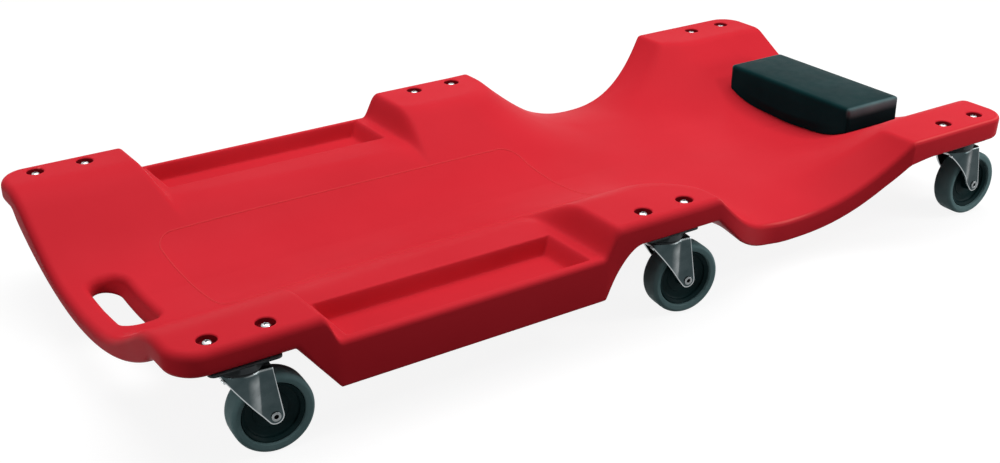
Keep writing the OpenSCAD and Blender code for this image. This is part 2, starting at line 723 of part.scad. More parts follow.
module fork() {
    low = axle_z - ear_r - cut_over;
    reach = fork_r + cut_over;
    color([0.62, 0.64, 0.65])
    difference() {
        union() {
            translate([0, 0, web_z - fork_t / 2])
                cylinder(h = race_z - web_z + fork_t / 2, r = race_top_r);
            intersection() {
                translate([0, 0, low]) linear_extrude(web_z - low) fork_plan(0);
                translate([0, reach, 0]) rotate([90, 0, 0])
                    linear_extrude(2 * reach) ear_outline();
            }
        }
        translate([0, 0, low - cut_over])
            linear_extrude(web_z - fork_t - low + cut_over) fork_plan(fork_t);
        translate([0, 0, web_z - 2 * fork_t])
            cylinder(h = 3 * fork_t + cut_over, d = pin_d + 2 * fit_gap);
        translate([trail, reach, axle_z]) rotate([90, 0, 0])
            cylinder(h = 2 * reach, d = axle_d + 2 * fit_gap);
    }
}

// Lays a wheel part, drawn about Z, on the axle's line
module on_axle() {
    translate([trail, 0, axle_z]) rotate([90, 0, 0]) children();
}

// Axle: a hollow rivet across the ears
axle_head_share = 0.64;
axle_bore_share = 0.55;
axle_head_h = 1.6;
module axle() {
    half = fork_gap / 2 + fork_t + fit_gap;
    color([0.75, 0.76, 0.78])
    on_axle() difference() {
        union() {
            cylinder(h = 2 * (half + axle_head_h), d = axle_d, center = true);
            for (z = [-half - axle_head_h, half]) translate([0, 0, z])
                cylinder(h = axle_head_h, r = axle_d * axle_head_share);
        }
        cylinder(h = 2 * (half + axle_head_h + cut_over), d = axle_d * axle_bore_share,
            center = true);
    }
}

// Plain sleeve that the wheel turns on
bush_t = 2;
bush_r = axle_d / 2 + fit_gap + bush_t;
side_play = 0.1;
module bush() {
    color([0.8, 0.78, 0.7])
    on_axle() difference() {
        cylinder(h = fork_gap - 2 * side_play, r = bush_r, center = true);
        cylinder(h = fork_gap + 2 * cut_over, r = axle_d / 2 + fit_gap, center = true);
    }
}

// Wheel: a hub with a recessed web on both sides, and a tyre
hub_r = wheel_d / 2 - tyre_t;
rim_share = 0.86;
rim_face = tyre_w / 2 * rim_share;
module hub() {
    boss = bush_r + bush_t;
    face = rim_face;
    web = face / 2;
    ring_r = mix(boss, hub_r, 1 / 2);
    half = [
        [bush_r + fit_gap, fork_gap / 2 - 4 * side_play],
        [boss, fork_gap / 2 - 4 * side_play],
        [boss + seat_depth, web],
        [ring_r - bush_t / 2, web],
        [ring_r - bush_t / 4, web + bush_t / 2],
        [ring_r + bush_t / 4, web + bush_t / 2],
        [ring_r + bush_t / 2, web],
        [hub_r - bush_t - seat_depth, web],
        [hub_r - bush_t, face - seat_depth],
        [hub_r, face - seat_depth]];
    color([0.12, 0.16, 0.17])
    on_axle() rotate_extrude()
        polygon(concat(half, [for (i = [len(half) - 1:-1:0]) [half[i][0], -half[i][1]]]));
}
tread_share = 0.4;
module tyre() {
    face = tyre_w / 2;
    r = tyre_w / 2 * tread_share;
    corner = [for (i = [0:4]) let (t = 90 * i / 4)
        [wheel_d / 2 - r + r * sin(t), face - r + r * cos(t)]];
    half = concat([[hub_r + fit_gap, rim_face]], corner);
    color([0.42, 0.45, 0.46])
    on_axle() rotate_extrude()
        polygon(concat(half, [for (i = [len(half) - 1:-1:0]) [half[i][0], -half[i][1]]]));
}

deck();
headrest_cushion();
headrest_board();
headrest_screws();
caster_screws();
caster_nuts();
for (i = [0:5]) {
    at_corner(i) caster_plate();
    at_corner(i) kingpin();
    turned(i) fork();
    turned(i) axle();
    turned(i) race_balls();
    turned(i) hub();
    turned(i) tyre();
    turned(i) bush();
}
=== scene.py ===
import math

import bmesh
import bpy
import numpy as np
from mathutils import Matrix, Vector


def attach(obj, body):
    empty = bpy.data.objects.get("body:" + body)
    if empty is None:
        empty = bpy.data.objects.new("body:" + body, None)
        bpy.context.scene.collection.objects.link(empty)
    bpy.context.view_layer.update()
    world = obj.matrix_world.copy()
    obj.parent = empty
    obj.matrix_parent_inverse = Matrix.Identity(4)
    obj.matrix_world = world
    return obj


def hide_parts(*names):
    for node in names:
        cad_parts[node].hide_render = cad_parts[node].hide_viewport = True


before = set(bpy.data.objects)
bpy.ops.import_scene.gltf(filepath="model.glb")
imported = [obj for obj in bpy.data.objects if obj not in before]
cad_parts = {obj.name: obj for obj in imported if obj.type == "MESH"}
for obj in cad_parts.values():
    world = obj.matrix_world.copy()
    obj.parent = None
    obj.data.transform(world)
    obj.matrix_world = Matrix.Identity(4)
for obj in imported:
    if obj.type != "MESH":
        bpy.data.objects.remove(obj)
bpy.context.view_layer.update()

# Lengths in this script are in millimetres, and MM turns them into the scene's metres.
MM = 0.001

# Sizes that the CAD source has too
DECK_L, DECK_HALF, HEAD_HALF, WAIST_HALF = 1029.0, 237.0, 241.0, 207.5
WING_Z, FOOT_DIP, HEAD_DIP, RAIL_DROP, WAIST_DROP = 120.0, 62.0, 57.0, 28.0, 69.0
CORNER_R, EDGE_R, UNDER_R = 30.0, 6.0, 4.0
FOOT_WING_L, FOOT_STEP_L, MID_WING_FROM, MID_STEP_L = 135.0, 17.0, 438.0, 18.0
MID_WING_TO, WAIST_AT, HEAD_WING_FROM = 585.0, 722.0, 867.0
DECK_T, WING_T = 22.0, 25.5
RISE_Y, RISE_CURVE, RISE_SHARE = (72.0, 65.0, 77.0), 37.0, 0.63
HEAD_SINK = 4.5
WAIST_IN_POWER, WAIST_OUT_POWER, WAIST_TAPER, WAIST_ROLL = 2.2, 2.45, 0.83, 0.22
FADE_BEFORE, FADE_AFTER, FADE_IN, FADE_HOLD, SIDE_DRAFT = 0.12, 0.09, 0.8, 0.15, 0.07
FOOT_CREST, WING_CREST, HEAD_CREST = 15.0, 9.0, 4.5
TRAY_IN_Y, TRAY_OUT_Y, TRAY_DEPTH, TRAY_DRAFT = 161.5, 228.0, 18.5, 5.0
TRAY_FROM, TRAY_TO, TRAY_SLOPE = 160.0, 426.0, 12.0
POD_FOOT_L, POD_HEAD_L = 41.0, 49.0
SLOT_L, SLOT_W, SLOT_R, SLOT_RIM_R, SLOT_LOW_R, GRIP_W = 106.0, 36.0, 15.0, 8.0, 4.0, 26.0
PAD_L, PAD_W, PAD_Z, PAD_IN = 88.0, 206.0, 109.0, 30.5
CASTER_Y, CASTER_S = 216.0, (64.5, 526.0, 968.0)
SWIVELS = (6.0, 8.0, 2.0)
WHEEL_D, TYRE_W, TYRE_T, TRAIL = 76.0, 25.0, 9.0, 24.0
SCREW_PITCH, WELL_D, WELL_DEPTH = 53.0, 18.0, 6.0
CORNERS = ("foot_left", "foot_right", "mid_left", "mid_right", "head_left", "head_right")

RAIL_Z = WING_Z - RAIL_DROP
SLOT_X = GRIP_W + SLOT_W / 2
PAD_S = DECK_L - PAD_IN - PAD_L / 2
AXLE_Z = WHEEL_D / 2

# Centres of the screw wells, and signs and start angles of a rectangle's corners in turn
WELLS = [(at - DECK_L / 2 + way * SCREW_PITCH / 2, side * CASTER_Y)
         for at in CASTER_S for side in (-1, 1) for way in (-1, 1)]
QUARTERS = ((1, 1, 0), (-1, 1, 90), (-1, -1, 180), (1, -1, 270))

# The photograph's form where it differs from the CAD source by a few millimetres: a softer
# crest beside the middle wing's step, softer tray walls and a top edge that isn't all alike
STEP_CREST, STEP_CREST_LATE, STEP_CREST_W = 9.0, 6.0, 16.0
TRAY_EASE, TRAY_CORNER = 1.2, 0.2
WING_EDGE_R, RAIL_EDGE_R, WAIST_EDGE_R = 8.5, 5.5, 5.0
WAIST_EDGE_FROM, WAIST_EDGE_L = MID_WING_TO - 25.0, 60.0

# And underneath: the pod, the lip at the foot end, the waist, the foot wings, the hand slot
POD_LOW, POD_LATE = 44.0, 5.0
LIP_LOW, LIP_CURVE, LIP_SOFT, LIP_FROM, LIP_TO = 40.5, 0.00163, 4.0, 25.0, 80.0
WAIST_MORE, WAIST_MORE_W = 3.5, 45.0
WAIST_FROM, WAIST_FROM_L = MID_WING_TO + 5.0, 40.0
WAIST_TO, WAIST_TO_L = HEAD_WING_FROM - 7.0, 45.0
WING_UNDER_R, WING_UNDER_Y, WING_UNDER_W, WING_UNDER_L = 9.0, 165.0, 20.0, 25.0
SLOT_DRAFT = 3.0


# Smooth steps, humps and rounded corners
def within(t):
    return np.clip(t, 0.0, 1.0)


def ease(t):
    c = within(t)
    return c * c * (3 - 2 * c)


def mix(a, b, t):
    return a + (b - a) * t


def rise(s, start, length):
    return (s - start) / length


def hump(v, at, width):
    return np.exp(-((v - at) / width) ** 2)


def quarter_turn(steps):
    return np.radians(np.linspace(0, 90, steps + 1))


def soft_min(a, b, m):
    h = np.maximum(m - np.abs(a - b), 0) / m
    return np.minimum(a, b) - h * h * m / 4


def quarter(r, d):
    d = np.minimum(np.maximum(d, 0.0), r)
    return r - np.sqrt(np.maximum(0.0, r * r - (r - d) ** 2))


# The deck's heights at s from the foot end and y from the centre line, as in the CAD source
def rail_share(s):
    return np.minimum(ease(rise(s, FOOT_WING_L, FOOT_STEP_L)),
                      1 - ease(rise(s, MID_WING_FROM, MID_STEP_L)))


def waist_share(s):
    return np.where(
        s < WAIST_AT,
        1 - (1 - within(rise(s, MID_WING_TO, WAIST_AT - MID_WING_TO))) ** WAIST_IN_POWER,
        1 - within(rise(s, WAIST_AT, HEAD_WING_FROM - WAIST_AT)) ** WAIST_OUT_POWER)


def fade_share(s):
    start = MID_WING_TO - FADE_BEFORE * (DECK_L - MID_WING_TO)
    end = HEAD_WING_FROM + FADE_AFTER * (DECK_L - MID_WING_TO)
    again = mix(WAIST_AT, end, FADE_HOLD)
    return np.where(s < WAIST_AT, ease(rise(s, start, (WAIST_AT - start) * FADE_IN)),
                    1 - ease(rise(s, again, end - again)))


def straight_half(s):
    return np.where(s < WAIST_AT,
                    mix(DECK_HALF, WAIST_HALF,
                        ease(rise(s, MID_WING_TO, (WAIST_AT - MID_WING_TO) * WAIST_TAPER))),
                    mix(WAIST_HALF, HEAD_HALF,
                        within(rise(s, WAIST_AT, HEAD_WING_FROM - WAIST_AT)) ** 2))


def half_w(s):
    return straight_half(s) - quarter(CORNER_R, np.minimum(s, DECK_L - s))


def to_edge(s, y):
    e, w = np.minimum(s, DECK_L - s), straight_half(s)
    cs, cy = CORNER_R - e, y - (w - CORNER_R)
    inside = np.minimum(e, w - y)
    return np.maximum(0, np.where((cs > 0) & (cy > 0), CORNER_R - np.hypot(cs, cy), inside))


def ramp(t):
    return (t + np.sqrt(t * t + RISE_CURVE ** 2)) / 2


def lying_z(s, y):
    foot_t = ease(rise(s, FOOT_WING_L / 2, TRAY_FROM))
    head_t = ease(rise(s, MID_WING_TO, HEAD_WING_FROM - MID_WING_TO))
    y0 = mix(mix(RISE_Y[0], RISE_Y[1], foot_t), RISE_Y[2], head_t)
    bottom = (mix(WING_Z - FOOT_DIP, WING_Z - HEAD_DIP, ease(rise(s, 0, MID_WING_TO)))
              - HEAD_SINK * ease(rise(s, WAIST_AT, HEAD_WING_FROM - WAIST_AT)))
    return bottom + RISE_SHARE * (1 - fade_share(s)) * (ramp(y - y0) - ramp(-y0))


def raw_skin_z(s, y):
    rim = (WING_Z - RAIL_DROP * rail_share(s)
           - waist_share(s) * (WAIST_DROP - WAIST_ROLL * (straight_half(s) - y)))
    crest = mix(FOOT_CREST, WING_CREST, ease(rise(s, FOOT_WING_L, MID_WING_FROM - FOOT_WING_L)))
    crest = mix(crest, HEAD_CREST, ease(rise(s, WAIST_AT, HEAD_WING_FROM - WAIST_AT)))
    crest = crest + STEP_CREST * hump(s - MID_WING_FROM, STEP_CREST_LATE, STEP_CREST_W)
    return soft_min(lying_z(s, y), rim, crest)


def skin_z(s, y):
    """Height of the top skin, with its crests across the deck slightly rounded."""
    step, weights = 1.6, (1, 2, 3, 2, 1)
    parts = [w * raw_skin_z(np.clip(s + (k - 2) * step, 0, DECK_L), y)
             for k, w in enumerate(weights)]
    return sum(parts) / sum(weights)


def tray_dip(s, y):
    wall, slope = TRAY_DRAFT + 2 * TRAY_EASE, TRAY_SLOPE + 2 * TRAY_EASE
    across = np.minimum(ease(rise(y, TRAY_IN_Y - TRAY_EASE, wall)),
                        ease(rise(TRAY_OUT_Y + TRAY_EASE - y, 0, wall)))
    along = np.minimum(ease(rise(s, TRAY_FROM - TRAY_EASE, slope)),
                       ease(rise(TRAY_TO + TRAY_EASE - s, 0, slope)))
    return TRAY_DEPTH * np.maximum(0, soft_min(across, along, TRAY_CORNER))


def pod_under_z(s):
    low = WING_Z - WING_T
    start = FOOT_WING_L + FOOT_STEP_L - POD_FOOT_L
    end = MID_WING_FROM + POD_LATE
    return np.where(s < end, mix(low, POD_LOW, within(rise(s, start, POD_FOOT_L))),
                    mix(low, POD_LOW, (1 - within(rise(s, end, POD_HEAD_L - POD_LATE))) ** 2))


def under_z(s, y):
    z = skin_z(s, y)
    thick = mix(DECK_T, WING_T, within((z - RAIL_Z) / (WING_Z - RAIL_Z)))
    waist = ease(rise(s, WAIST_FROM, WAIST_FROM_L)) * (1 - ease(rise(s, WAIST_TO, WAIST_TO_L)))
    thick = thick + WAIST_MORE * waist * (1 - ease(to_edge(s, np.abs(y)) / WAIST_MORE_W))
    lip = soft_min(LIP_LOW + LIP_CURVE * y * y, WING_Z - WING_T, LIP_SOFT)
    return mix(np.minimum(z - thick, pod_under_z(s)), lip,
               1 - ease(rise(s, LIP_FROM, LIP_TO - LIP_FROM)))


def edge_r(s):
    """The top edge is rounder at the foot and middle wings than at the rails and the waist."""
    return mix(mix(WING_EDGE_R, RAIL_EDGE_R, rail_share(s)), WAIST_EDGE_R,
               ease(rise(s, WAIST_EDGE_FROM, WAIST_EDGE_L)))


def top_z(s, y):
    y = np.abs(y)
    return skin_z(s, y) - tray_dip(s, y) - quarter(edge_r(s), to_edge(s, y))


def bottom_z(s, y):
    y = np.abs(y)
    foot_wing = (ease(rise(y, WING_UNDER_Y, WING_UNDER_W))
                 * (1 - ease(rise(s, FOOT_WING_L - WING_UNDER_L, WING_UNDER_L))))
    return under_z(s, y) + quarter(mix(UNDER_R, WING_UNDER_R, foot_wing), to_edge(s, y))


# Making and placing meshes
def add_object(name, mesh):
    obj = bpy.data.objects.new(name, mesh)
    bpy.context.scene.collection.objects.link(obj)
    return obj


def give_values(mesh, name, values):
    """Adds a number for each point, which a material can read."""
    field = mesh.attributes.new(name, "FLOAT", "POINT")
    field.data.foreach_set("value", values)


def make_mesh(name, points, faces, sharp=None):
    """A smooth-shaded mesh from points in millimetres. Edges above sharp degrees stay hard."""
    mesh = bpy.data.meshes.new(name)
    mesh.from_pydata((np.asarray(points, float) * MM).tolist(), [], [list(f) for f in faces])
    mesh.update()
    work = bmesh.new()
    work.from_mesh(mesh)
    bmesh.ops.recalc_face_normals(work, faces=work.faces)
    work.to_mesh(mesh)
    work.free()
    mesh.shade_smooth()
    if sharp:
        mesh.set_sharp_from_angle(angle=math.radians(sharp))
    return mesh


def run_of(points):
    """Distances along a line of points from its start."""
    return np.concatenate([[0.0], np.cumsum(np.linalg.norm(np.diff(points, axis=0), axis=1))])


def zipped(low, high, low_at, high_at, closed=False):
    """Triangles between two rows of points, whose places along the row are given in order."""
    n, m, i, j, faces = len(low), len(high), 0, 0, []
    last_i, last_j = (n, m) if closed else (n - 1, m - 1)
    while i < last_i or j < last_j:
        next_i = low_at[i + 1] if i < last_i else math.inf
        next_j = high_at[j + 1] if j < last_j else math.inf
        if next_i <= next_j:
            faces.append((low[i % n], low[(i + 1) % n], high[j % m]))
            i += 1
        else:
            faces.append((low[i % n], high[(j + 1) % m], high[j % m]))
            j += 1
    return faces


# The deck: one closed skin, with the hand slot and the screw wells joined into its grid.
# Stations nearer than NEAR become one, and CLOSING places the rings between a hole and its rim.
# The grid gives way to a well or to the slot for some millimetres round it.
NEAR, CLOSING = 0.3, (0.3, 0.6, 0.85)
WELL_CLEAR, SLOT_CLEAR = 5.5, 8.0


def spaced(spans):
    """Stations from spans of (start, end, step), in order and without near repeats."""
    found = [0.0]
    for start, end, step in spans:
        n = max(1, round((end - start) / step))
        found += [start + (end - start) * i / n for i in range(n + 1)]
    out = []
    for v in sorted(found):
        if not out or v - out[-1] > NEAR:
            out.append(v)
    return out


def deck_stations():
    """Places along the deck for its rows of points, closer together where the skin bends."""
    wing, step, wall, tray, tip, waist = 3.2, 1.25, 0.9, 4.5, 1.3, 3.6
    foot_end, mid_end = FOOT_WING_L + FOOT_STEP_L + 4, MID_WING_FROM + MID_STEP_L + 4
    floor_from, floor_to = TRAY_FROM + TRAY_SLOPE + 3, TRAY_TO - TRAY_SLOPE - 3
    last, turns = DECK_L - CORNER_R, 18
    corner = [CORNER_R * (1 - math.cos(math.radians(90 * i / turns))) for i in range(turns + 1)]
    body = spaced([
        (CORNER_R, FOOT_WING_L - 4, wing), (FOOT_WING_L - 4, foot_end, step),
        (TRAY_FROM - 2, floor_from, wall), (floor_from, floor_to, tray),
        (floor_to, TRAY_TO + 2, wall), (MID_WING_FROM - 4, mid_end, step),
        (mid_end, MID_WING_TO - 8, wing), (MID_WING_TO - 8, MID_WING_TO + 8, tip),
        (MID_WING_TO + 8, HEAD_WING_FROM - 8, waist),
        (HEAD_WING_FROM - 8, HEAD_WING_FROM + 8, tip), (HEAD_WING_FROM + 8, last, wing)])
    return np.array(corner + [s for s in body if CORNER_R + NEAR < s < last - NEAR]
                    + [DECK_L - v for v in corner[::-1]])


def find_span(values, low, high):
    inside = np.nonzero((values > low) & (values < high))[0]
    return int(inside[0]), int(inside[-1])


class Skin:
    """Points and faces that grow together."""

    def __init__(self):
        self.points, self.faces = [], []

    def add(self, rows):
        """Adds rows of points and gives back their numbers in the same layout."""
        rows = np.asarray(rows, float)
        start = len(self.points)
        self.points.extend(rows.reshape(-1, 3).tolist())
        return start + np.arange(rows.size // 3).reshape(rows.shape[:-1])

    def quads(self, grid, holes=(), closed=False):
        """Faces between neighbours in a grid of point numbers, apart from the holes' blocks."""
        n, m = grid.shape
        for i in range(n - 1):
            for j in range(m if closed else m - 1):
                if any(a <= i < b and c <= j < d for a, b, c, d in holes):
                    continue
                k = (j + 1) % m
                self.faces.append((grid[i, j], grid[i + 1, j], grid[i + 1, k], grid[i, k]))

    def block(self, grid, x, centre, reach):
        """The rows and columns of a grid, as (first, last, first, last), that lie within reach
        of a centre. The rows' places are x."""
        a, b = find_span(x, centre[0] - reach[0], centre[0] + reach[0])
        line = np.array([self.points[k][1] for k in grid[(a + b) // 2]])
        return (a, b, *find_span(line, centre[1] - reach[1], centre[1] + reach[1]))

    def opening(self, grid, hole, centre, core, rings, height):
        """Fills a block left out of the grid with rings that close in on an opening. The
        opening is round its core, and rings are (distance from the core, drop). Gives back
        the last ring's point numbers and places."""
        a, b, c, d = hole
        loop = ([grid[i, c] for i in range(a, b)] + [grid[b, j] for j in range(c, d)]
                + [grid[i, d] for i in range(b, a, -1)] + [grid[a, j] for j in range(d, c, -1)])
        p = np.array([self.points[k][:2] for k in loop]) - centre
        nearest = np.clip(p, [-core[0], -core[1]], core)
        way = p - nearest
        far = np.linalg.norm(way, axis=1)
        way = way / far[:, None]
        last = np.array(loop)
        steps = [(mix(far, rings[0][0], t), 0.0) for t in CLOSING] + list(rings)
        for r, drop in steps:
            at = centre + nearest + way * np.reshape(r, (-1, 1))
            z = height(at[:, 0] + DECK_L / 2, at[:, 1]) - drop
            ring = self.add(np.column_stack([at, z]))
            self.quads(np.array([last, ring]), closed=True)
            last = ring
        return last, at


def well_rings():
    """Rings of (distance, drop) down the wall of a screw well, with both its edges rounded."""
    rim, foot, taper, turns = 1.3, 1.6, 0.3, quarter_turn(4)
    return ([(WELL_D / 2 + rim * (1 - math.sin(t)), rim * (1 - math.cos(t))) for t in turns]
            + [(WELL_D / 2 - taper - foot * (1 - math.cos(t)),
                WELL_DEPTH - foot * (1 - math.sin(t))) for t in turns]
            + [(WELL_D / 4, WELL_DEPTH)])


def slot_wall(top, low):
    """Faces between the two openings of the hand slot, each given as its loop and places."""
    runs = []
    for _, at in (top, low):
        step = np.linalg.norm(np.roll(at, -1, 0) - at, axis=1)
        runs.append(np.concatenate([[0], np.cumsum(step)]) / step.sum())
    shift = int(np.argmin(np.linalg.norm(low[1] - top[1][0], axis=1)))
    low_run = np.concatenate([[0], np.cumsum(np.roll(np.diff(runs[1]), -shift))])
    return zipped(list(np.roll(low[0], -shift)), list(top[0]), low_run, runs[0], closed=True)


# Where a highlight is painted on the top rim: the place and spread along the deck, beside the
# middle wing's end and beside the waist, and across the edge's rounding in degrees
RIM_HIGHLIGHT_MID, RIM_HIGHLIGHT_WAIST, RIM_HIGHLIGHT_TILT = (5.0, 7.0), (-6.0, 36.0), (34.0, 13.0)
RIM_HIGHLIGHT_HEAD, RIM_HIGHLIGHT_HEAD_EARLY, RIM_HIGHLIGHT_HEAD_L = 0.8, 4.0, 12.0


def painted_rim_highlight(points):
    """How much painted highlight makes the top rim paler, beside the waist and the head wings."""
    s, y = points[:, 0] + DECK_L / 2, np.abs(points[:, 1])
    r = edge_r(s)
    tilt = np.degrees(np.arcsin(within((r - to_edge(s, y)) / r)))
    along = (hump(s - MID_WING_TO, *RIM_HIGHLIGHT_MID) + hump(s - WAIST_AT, *RIM_HIGHLIGHT_WAIST)
             + RIM_HIGHLIGHT_HEAD * ease(rise(s, HEAD_WING_FROM - RIM_HIGHLIGHT_HEAD_EARLY, RIM_HIGHLIGHT_HEAD_L)))
    up = points[:, 2] > top_z(s, y) - 1.0
    return hump(tilt, *RIM_HIGHLIGHT_TILT) * along * up


def deck_mesh():
    skin, s = Skin(), deck_stations()
    x, w, half = s - DECK_L / 2, half_w(s), DECK_HALF - EDGE_R
    wide, fine, low_cols = 3.1, 0.6, 46
    rows = spaced([(0, TRAY_IN_Y - 2, wide), (TRAY_IN_Y - 2, TRAY_IN_Y + 8, fine),
                   (TRAY_IN_Y + 8, TRAY_OUT_Y - 8, wide), (TRAY_OUT_Y - 8, half, fine)])
    edge = EDGE_R * (1 - np.sin(quarter_turn(8)[1:]))
    under = UNDER_R * (1 - np.cos(quarter_turn(5)))
    top_y = np.column_stack([np.outer((w - EDGE_R) / half, rows), w[:, None] - edge])
    low = w - SIDE_DRAFT * (top_z(s, w) - bottom_z(s, w))
    inner = (low - UNDER_R)[:, None] * (1 - np.arange(1, low_cols + 1) / low_cols)
    under_y = np.column_stack([low[:, None] - under, inner])
    read_y = np.column_stack([w[:, None] - under, inner])

    def full(y, z):
        """Both sides of a line that starts at the middle."""
        right = np.stack([np.repeat(x[:, None], y.shape[1], 1), y, z], -1)
        left = right[:, :0:-1] * [1, -1, 1]
        return np.concatenate([left, right], 1)

    tops = skin.add(full(top_y, top_z(s[:, None], top_y)))
    unders = skin.add(full(under_y[:, ::-1], bottom_z(s[:, None], read_y)[:, ::-1]))
    well_reach, slot_x = WELL_D / 2 + WELL_CLEAR, SLOT_X - DECK_L / 2
    wells = [skin.block(tops, x, centre, (well_reach, well_reach)) for centre in WELLS]
    slots = [skin.block(grid, x, (slot_x, 0.0), (SLOT_W / 2 + out, SLOT_L / 2 + out))
             for grid, out in ((tops, SLOT_RIM_R + SLOT_CLEAR), (unders, SLOT_LOW_R + SLOT_CLEAR))]
    skin.quads(tops, wells + slots[:1])
    skin.quads(unders, slots[1:])

    # Screw wells
    for hole, centre in zip(wells, WELLS):
        loop, _ = skin.opening(tops, hole, np.array(centre), np.zeros(2), well_rings(), top_z)
        middle = skin.add([[*centre, WING_Z - WELL_DEPTH]])[0]
        skin.faces += [(loop[k], loop[(k + 1) % len(loop)], middle) for k in range(len(loop))]

    # Hand slot, from both sides, and its wall
    core = np.array([SLOT_W / 2 - SLOT_R, SLOT_L / 2 - SLOT_R])
    ends = []
    for grid, hole, r, height, way, draft in (
            (tops, slots[0], SLOT_RIM_R, top_z, 1, 0.0),
            (unders, slots[1], SLOT_LOW_R, bottom_z, -1, SLOT_DRAFT)):
        rings = [(SLOT_R + r * (1 - math.sin(t)), way * r * (1 - math.cos(t)))
                 for t in quarter_turn(8)]
        ends.append(skin.opening(grid, hole, np.array([slot_x - draft, 0.0]),
                                 core - [draft, 0.0], rings, height))
    skin.faces += slot_wall(*ends)

    # Sides and both ends
    for side in (0, -1):
        skin.quads(np.column_stack([tops[:, side], unders[:, side]]))
    for end in (0, -1):
        skin.faces += zipped(list(unders[end]), list(tops[end]),
                             [skin.points[k][1] for k in unders[end]],
                             [skin.points[k][1] for k in tops[end]])
    mesh = make_mesh("deck_skin", skin.points, skin.faces)
    give_values(mesh, "painted_rim_highlight", painted_rim_highlight(np.array(skin.points)))
    return mesh


# Procedural materials
def set_input(node, **values):
    for name, value in values.items():
        node.inputs[name.replace("_", " ")].default_value = value


# Noise mostly lies within the first span, and a painted sheen fades over the second
NOISE_SPAN, PATCH_SPAN, SMEAR_SCALE = (0.3, 0.7), (0.05, 0.75), 2.7


class Surface:
    """A node material: colour that varies a little, roughness that varies, and fine bumps.
    The grain is (scale, detail, strength, height in millimetres)."""

    def __init__(self, name, dark, light, blotch, rough, metallic=0.0, specular=0.5,
                 grain=None):
        self.mat = bpy.data.materials.new(name)
        self.mat.use_nodes = True
        self.nodes, self.links = self.mat.node_tree.nodes, self.mat.node_tree.links
        self.bsdf = self.nodes["Principled BSDF"]
        self.coords = self.nodes.new("ShaderNodeTexCoord").outputs["Object"]
        self.normal = None
        set_input(self.bsdf, Metallic=metallic, Specular_IOR_Level=specular)
        self.colour = self.blend(self.noise(blotch, 5.0), dark, light)
        self.links.new(self.colour, self.bsdf.inputs["Base Color"])
        smear = self.noise(blotch * SMEAR_SCALE, 4.0)
        self.links.new(self.ranged(smear, *NOISE_SPAN, *rough), self.bsdf.inputs["Roughness"])
        if grain:
            scale, detail, strength, height = grain
            self.bump(self.noise(scale, detail), strength, height)

    def noise(self, scale, detail=3.0, stretch=None):
        node = self.nodes.new("ShaderNodeTexNoise")
        set_input(node, Scale=scale, Detail=detail)
        source = self.coords
        if stretch:
            mapping = self.nodes.new("ShaderNodeMapping")
            mapping.inputs["Scale"].default_value = stretch
            self.links.new(source, mapping.inputs["Vector"])
            source = mapping.outputs[0]
        self.links.new(source, node.inputs["Vector"])
        return node.outputs[0]

    def cell_edges(self, scale):
        node = self.nodes.new("ShaderNodeTexVoronoi")
        node.feature = "DISTANCE_TO_EDGE"
        set_input(node, Scale=scale)
        self.links.new(self.coords, node.inputs["Vector"])
        return node.outputs["Distance"]

    def ranged(self, value, low, high, start=0.0, end=1.0, kind="LINEAR"):
        """The value, stretched so that low to high becomes start to end."""
        node = self.nodes.new("ShaderNodeMapRange")
        node.interpolation_type = kind
        set_input(node, From_Min=low, From_Max=high, To_Min=start, To_Max=end)
        self.links.new(value, node.inputs["Value"])
        return node.outputs[0]

    def blend(self, factor, a, b, low=NOISE_SPAN[0], high=NOISE_SPAN[1]):
        """From a to b, each a colour or another node's output, as factor goes low to high."""
        node = self.nodes.new("ShaderNodeMix")
        node.data_type = "RGBA"
        self.links.new(self.ranged(factor, low, high), node.inputs["Factor"])
        for socket, value in ((node.inputs[6], a), (node.inputs[7], b)):
            if isinstance(value, (tuple, list)):
                socket.default_value = (*value, 1.0)
            else:
                self.links.new(value, socket)
        return node.outputs[2]

    def repaint(self, factor, colour, low, high):
        """Mixes another colour in where factor is high."""
        self.colour = self.blend(factor, self.colour, colour, low, high)
        self.links.new(self.colour, self.bsdf.inputs["Base Color"])

    def paint_edge_highlight(self, colour, low=0.52, high=0.6):
        """A painted highlight: another colour along edges that stand out."""
        geometry = self.nodes.new("ShaderNodeNewGeometry")
        self.repaint(geometry.outputs["Pointiness"], colour, low, high)

    def paint_sheen(self, colour, bands, scale=90.0):
        """A paler patch, a painted sheen that stands in for a highlight. It lies inside all the
        bands, and each band (axis, none, full) grows from the one length to the other."""
        split = self.nodes.new("ShaderNodeSeparateXYZ")
        self.links.new(self.coords, split.inputs[0])
        factor = self.noise(scale, 3.0)
        for axis, none, full in bands:
            band = self.ranged(split.outputs[axis], none * MM, full * MM, kind="SMOOTHSTEP")
            times = self.nodes.new("ShaderNodeMath")
            times.operation = "MULTIPLY"
            self.links.new(factor, times.inputs[0])
            self.links.new(band, times.inputs[1])
            factor = times.outputs[0]
        self.repaint(factor, colour, *PATCH_SPAN)

    def by_value(self, colour, name, none, full):
        """Another colour where the number that the mesh gives for a point nears full."""
        node = self.nodes.new("ShaderNodeAttribute")
        node.attribute_name = name
        self.repaint(node.outputs["Fac"], colour, none, full)

    def bump(self, height, strength, distance_mm):
        node = self.nodes.new("ShaderNodeBump")
        set_input(node, Strength=strength, Distance=distance_mm * MM)
        self.links.new(height, node.inputs["Height"])
        if self.normal:
            self.links.new(self.normal, node.inputs["Normal"])
        self.normal = node.outputs[0]
        self.links.new(self.normal, self.bsdf.inputs["Normal"])


def wear(obj, surface):
    obj.data.materials.clear()
    obj.data.materials.append(surface.mat)


red = Surface("moulded_red", (0.60, 0.021, 0.032), (0.65, 0.026, 0.039), 6.0, (0.36, 0.44),
              specular=0.012, grain=(900.0, 2.0, 0.10, 0.12))
# Painted highlight: a paler red along the edges that stand out
red.paint_edge_highlight((0.78, 0.095, 0.095), 0.53, 0.62)
